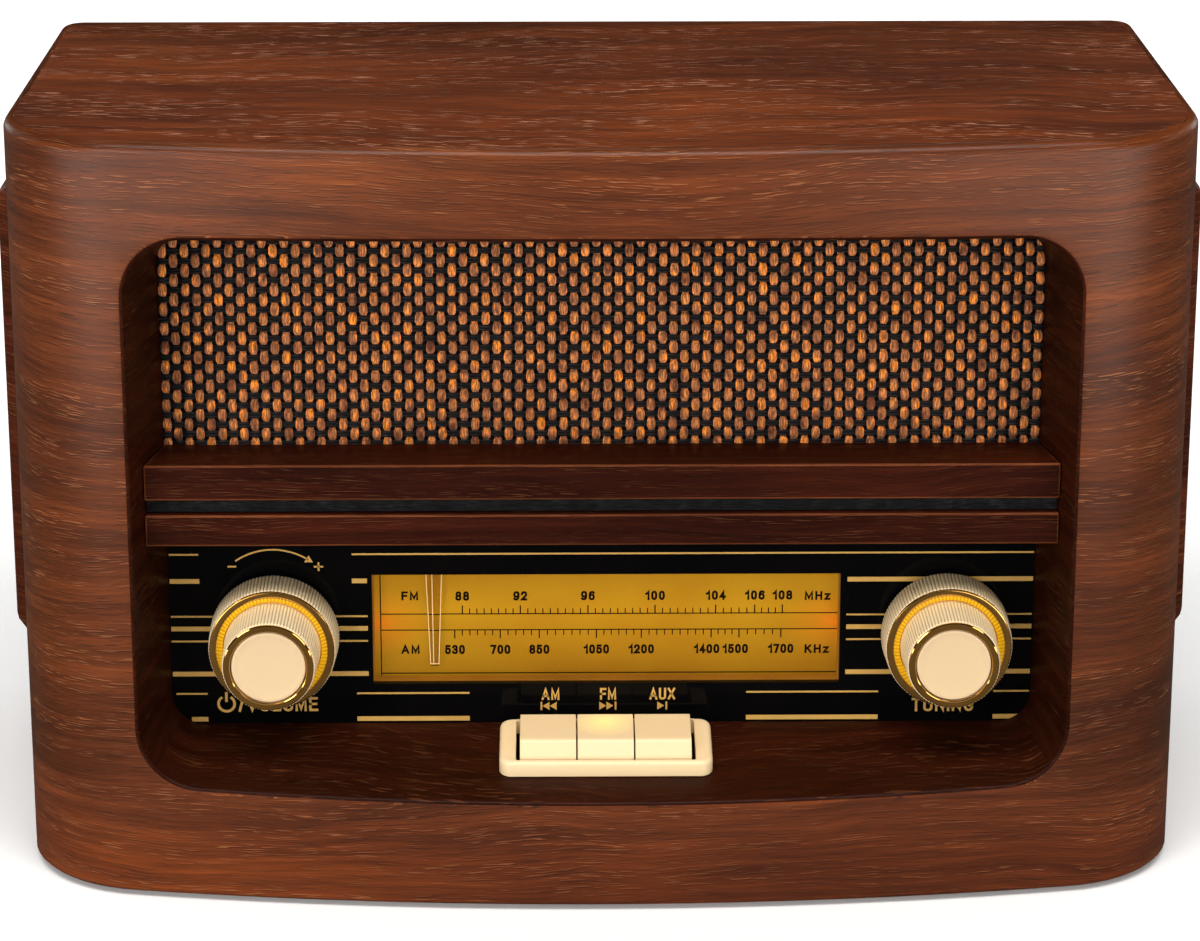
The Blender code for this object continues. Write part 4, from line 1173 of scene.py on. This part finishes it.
def knob(prefix, centre):
    """Ribbed skirt, gold ring and cone in its dish, ribbed grip, front ring and domed cap."""
    base, front = KNOB_BASE, KNOB_FRONT
    plane, floor = span(prefix + "_dish")[1]
    lip = front + 0.75

    def part(name, profile, material, slot, smooth, node=None, **shape):
        replaces = (prefix + node,) if node else ()
        turned(prefix + name, profile, centre, material, prefix + "_knob", replaces=replaces, slot=slot,
               smooth=smooth, **shape)

    edge = plane + 0.62
    part("_skirt_ribbed",
         [(BORE, base), (SKIRT_R - 0.35, base), (SKIRT_R, base - 0.35, 1), (SKIRT_R - 0.05, base - 1.0, 1),
          (SKIRT_R - 0.45, plane + 1.2, 1), (SKIRT_R - 0.6, plane + 0.75, 0.6), (SKIRT_R - 0.85, edge),
          (DISH_RING[0] - 0.2, edge), (DISH_RING[0] - 0.2, floor + GAP), (BORE, floor + GAP)],
         CREAM_RIB, "cream", 50, "_skirt", ribs=112, rib_depth=0.42)
    a, b = DISH_RING
    part("_dish_ring",
         [(a, plane + 0.1), (a + 0.15, plane), (b - 0.4, plane), (b - 0.15, plane + 0.08), (b, plane + 0.3),
          (b, plane + 0.55), (a, plane + 0.55)], GOLD, "gold", 20, "_dish", segments=160)
    # The cone glows: painted reflection of the grip's light in the dish.
    a, b = CONE
    part("_dish_cone",
         [(a, plane + 1.3), (b, plane + 0.12), (b, plane + 0.56), (b - 0.38, plane + 0.56), (b - 0.38, floor),
          (a + 0.5, floor), (a + 0.5, plane + 1.7), (a, plane + 1.7)], GOLD_PAINTED_GLOW, "gold", 20, segments=160)
    part("_grip_ribbed",
         [(BORE, floor), (GRIP_R - 0.2, floor), (GRIP_R, floor - 0.3), (GRIP_R, plane + 1.7),
          (GRIP_R - 0.05, plane + 1.4, 0.5), (GRIP_R - 0.1, plane + 1.0, 1), (GRIP_R - 0.55, lip + 0.5, 1),
          (GRIP_R - 0.7, lip + 0.12, 0.5), (GRIP_R - 1.0, lip), (WELL_R, lip), (WELL_R, front + 4.2),
          (0, front + 4.2), (0, front + 8.0), (BORE, front + 8.0)],
         CREAM_RIB, "cream", 50, "_grip", ribs=88, rib_depth=0.4)
    a, b = FRONT_RING
    part("_front_ring",
         [(a, front + 0.25), (a + 0.13, front + 0.06), (a + 0.28, front), (b - 0.3, front),
          (b - 0.1, front + 0.1), (b, front + 0.3), (b, front + 0.62), (a, front + 0.62)],
         GOLD, "gold", 20, "_ring", segments=144)
    dome = [(r, front + 1.0 - 0.45 * (r / 9.2) ** 2) for r in (0, 2.0, 4.0, 6.0, 7.6, 8.7)]
    part("_cap_cream",
         dome + [(CAP_R - 0.85, front + 0.42), (CAP_R - 0.45, front + 0.4), (CAP_R - 0.15, front + 0.55),
                 (CAP_R - 0.03, front + 0.9), (CAP_R, front + 3.9), (0, front + 3.9)],
         CAP, "cream", 40, "_cap")


knob("volume", VOLUME)
knob("tuning", TUNING)


# ---------------------------------------------------------------- button console

def sill(y):
    """Height of the opening's sloping floor."""
    return OPEN_BOTTOM + OPEN_SLOPE * y


BEZEL_X, BEZEL_Y, _ = span("button_bezel")
HOLE_X = (span("key_am")[0][0] - 1.15, span("key_aux")[0][1] + 1.15)
HOLE_Y = (BEZEL_Y[0] + 1.75, BEZEL_Y[1] - 1.2)


def console():
    """The bezel on the sill, with one hole for the three keys."""
    outside = (*BEZEL_X, *BEZEL_Y), 3.4, 0.7, ((0.3, 0.0), (3.2, 0.0), (3.9, 0.3), (4.25, 0.9), (4.3, 1.3))
    inside = (*HOLE_X, *HOLE_Y), 0.7, 0.0, ((4.3, -0.35), (4.1, 0.0), (0.3, 0.0))
    rings = []
    for (a, b, c, d), corner, tightens, levels in (outside, inside):
        for rise, inset in levels:
            pts = round_rect(a + inset, b - inset, c + inset, d - inset, corner - inset * tightens, 8)
            rings.append([(x, y, sill(y) + rise) for x, y in pts])
    verts, faces = loft_mesh(rings + rings[:1], caps=False)
    count = len(rings[0]) * len(rings)
    faces = [tuple(i % count for i in face) for face in faces]
    piece("console_bezel", verts[:count], faces, CREAM, replaces=("button_bezel",), slot="cream", smooth=40)


def key(name, material):
    """A key with a sloping front, a step and a slightly sloping top."""
    x, (front, back), (low, high) = span("key_" + name)
    side = [(back, low), (back, high - 0.5), (back - 0.5, high), (front + 3.6, high - 1.1),
            (front + 2.9, high - 1.25), (front + 2.4, high - 1.6), (front + 0.25, high - 5.0),
            (front, high - 5.7), (front, low)]
    rings = [[(a, y, z) for y, z in side] for a in x]
    cap = piece("key_%s_cap" % name, *loft_mesh(rings), material, name + "_key", ("key_" + name,), "cream", 0)
    bevelled(cap, 0.22, 3, 20)


def key_well():
    """A dark floor under the keys: painted shade in the gaps round them."""
    board_x, _, (board_z, _) = span("key_board")
    floor = box_faces(board_x, (HOLE_Y[0] + 0.2, HOLE_Y[1] - 0.2), (board_z - 0.1, board_z + 0.2))
    piece("key_well", *floor, WELL_SHADE, slot="black_plastic", smooth=0)


KEY_X, KEY_Y, KEY_Z = span("key_fm")
FM_TOP = at(middle(KEY_X), KEY_Y[1] - 5.0, KEY_Z[1])
console()
key("am", CREAM)
key("fm", lit_key(FM_TOP))
key("aux", CREAM)
key_well()


# ---------------------------------------------------------------- rear, base and inside

STEEL = metal("zinc_steel", srgb(176, 178, 184), 0.3)
BLACK_PLASTIC = plastic("black_plastic", srgb(34, 34, 36), 0.5, srgb(24, 24, 26), 0.12)
RUBBER = plastic("rubber", srgb(20, 20, 21), 0.8)


def rear_screws():
    """Domed screws with a cross recess."""
    long, short = 2.6, 0.55
    for k in range(1, 5):
        name = "rear_screw_%d" % k
        x, _, z = (middle(p) for p in span(name))
        back = span(name)[1][1]
        seat = back - 1.8
        profile = [(0, seat - 13.6), (0.8, seat - 13.6), (1.5, seat - 11.8), (1.5, seat), (2.7, seat),
                   (2.75, seat + 0.35), (2.5, seat + 1.0), (1.9, seat + 1.5), (1.0, seat + 1.75), (0, back)]
        head = turned(name + "_head", profile, (x, z), STEEL, "cabinet", 32, replaces=(name,), slot="steel")
        slots = [((x - wide / 2, x + wide / 2), (back - 1.1, back + 2), (z - tall / 2, z + tall / 2))
                 for wide, tall in ((long, short), (short, long))]
        cut_away(head, [box_faces(*slot) for slot in slots])


rear_screws()
dress("rear_cover", BLACK_PLASTIC)
dress("power_inlet", plastic("inlet_black", srgb(14, 14, 15), 0.35))
dress("aux_socket", plastic("socket_black", srgb(12, 12, 13), 0.3))
for k in range(1, 5):
    dress("foot_%d" % k, RUBBER)
BY_SLOT = {
    "board": plastic("fibreboard", srgb(142, 106, 72), 0.85, srgb(112, 80, 52), 0.1),
    "white_plastic": plastic("white_plastic", srgb(226, 224, 216), 0.45),
    "lamp": plastic("lamp_glass", srgb(255, 190, 110), 0.2, Emission_Color=srgb(255, 140, 40),
                    Emission_Strength=2.0),
    "steel": STEEL,
    "circuit_board": plastic("circuit_board", srgb(24, 92, 44), 0.4, srgb(16, 70, 34)),
    "ferrite": plastic("ferrite", srgb(44, 42, 40), 0.6),
    "speaker_black": metal("speaker_black", srgb(30, 30, 32), 0.5),
    "cord": yarn("dial_cord_yarn", srgb(120, 104, 74), srgb(150, 132, 98), srgb(176, 158, 122), "X"),
}
DRESSED = ("dial_plate", "dial_scale", "dial_window", "rear_cover", "power_inlet", "aux_socket")
for row in frame["record"]["subparts"]:
    node, slot = row["node"], row["material_slot"]
    if slot in BY_SLOT and node not in DRESSED and not frame["nodes"][node].hide_render:
        dress(node, BY_SLOT[slot])


# ---------------------------------------------------------------- studio

def softbox(name, place, target, size, power):
    light = bpy.data.lights.new(name, "AREA")
    light.shape = "RECTANGLE"
    light.size, light.size_y = size
    light.energy = power
    light.color = (1.0, 0.975, 0.93)
    obj = linked(name, light)
    obj.location = place
    obj.rotation_euler = (Vector(target) - Vector(place)).to_track_quat("-Z", "Y").to_euler()


def studio():
    """A pale floor, softboxes above and all round, and a world that glossy surfaces see dark."""
    mesh = bpy.data.meshes.new("floor")
    mesh.from_pydata([(-4, -3, 0), (4, -3, 0), (4, 6, 0), (-4, 6, 0)], [], [(0, 1, 2, 3)])
    mesh.materials.append(floor_paint())
    linked("floor", mesh)
    softbox("key_light", (0.0, -0.62, 1.25), (0, -0.05, 0.1), (1.2, 0.5), 16.0)
    softbox("front_light", (0.0, -1.7, 0.55), (0, 0, 0.1), (1.6, 0.5), 1.2)
    softbox("back_light", (0.0, 1.1, 1.7), (0, 0.1, 0.1), (1.4, 0.6), 2.5)
    for side, name, front_power in ((-1, "left", 7.5), (1, "right", 3.0)):
        softbox(name + "_light", (side * 0.85, -1.3, 0.5), (0, 0, 0.12), (0.5, 0.5), front_power)
        softbox("side_light_" + name, (side * 1.5, 0.3, 0.6), (0, 0, 0.1), (0.5, 0.9), 1.2)
        softbox("rear_light_" + name, (side * 1.3, 1.4, 0.35), (0, 0.1, 0.1), (0.5, 0.5), 2.2)
    world = bpy.data.worlds.new("studio")
    world.use_nodes = True
    tree = world.node_tree
    sky = tree.nodes["Background"]
    sky.inputs["Strength"].default_value = 0.35
    mix = tree.nodes.new("ShaderNodeMix")
    mix.data_type = "RGBA"
    mix.inputs[6].default_value = (0.95, 0.97, 1.0, 1.0)
    mix.inputs[7].default_value = (0.04, 0.034, 0.028, 1.0)
    tree.links.new(tree.nodes.new("ShaderNodeLightPath").outputs["Is Glossy Ray"], mix.inputs[0])
    tree.links.new(mix.outputs[2], sky.inputs["Color"])
    bpy.context.scene.world = world
    bpy.context.scene.view_settings.view_transform = "Standard"


def camera():
    """A long lens from above, a little left of the middle, with its frame shifted down."""
    pitch, yaw = 0.2894, 0.0100
    away, high = 1.0154, 0.4300
    data = bpy.data.cameras.new("camera")
    data.sensor_width = 36.0
    data.lens = 111.27
    data.shift_y = -0.0904167
    data.clip_start = 0.01
    cam = linked("camera", data)
    cam.location = (-away * math.sin(yaw), FRONT_Y + 0.09 - away * math.cos(yaw), BASE_Z + high)
    cam.rotation_euler = (math.pi / 2 - pitch, 0.0, -yaw)
    bpy.context.scene.camera = cam


studio()
camera()
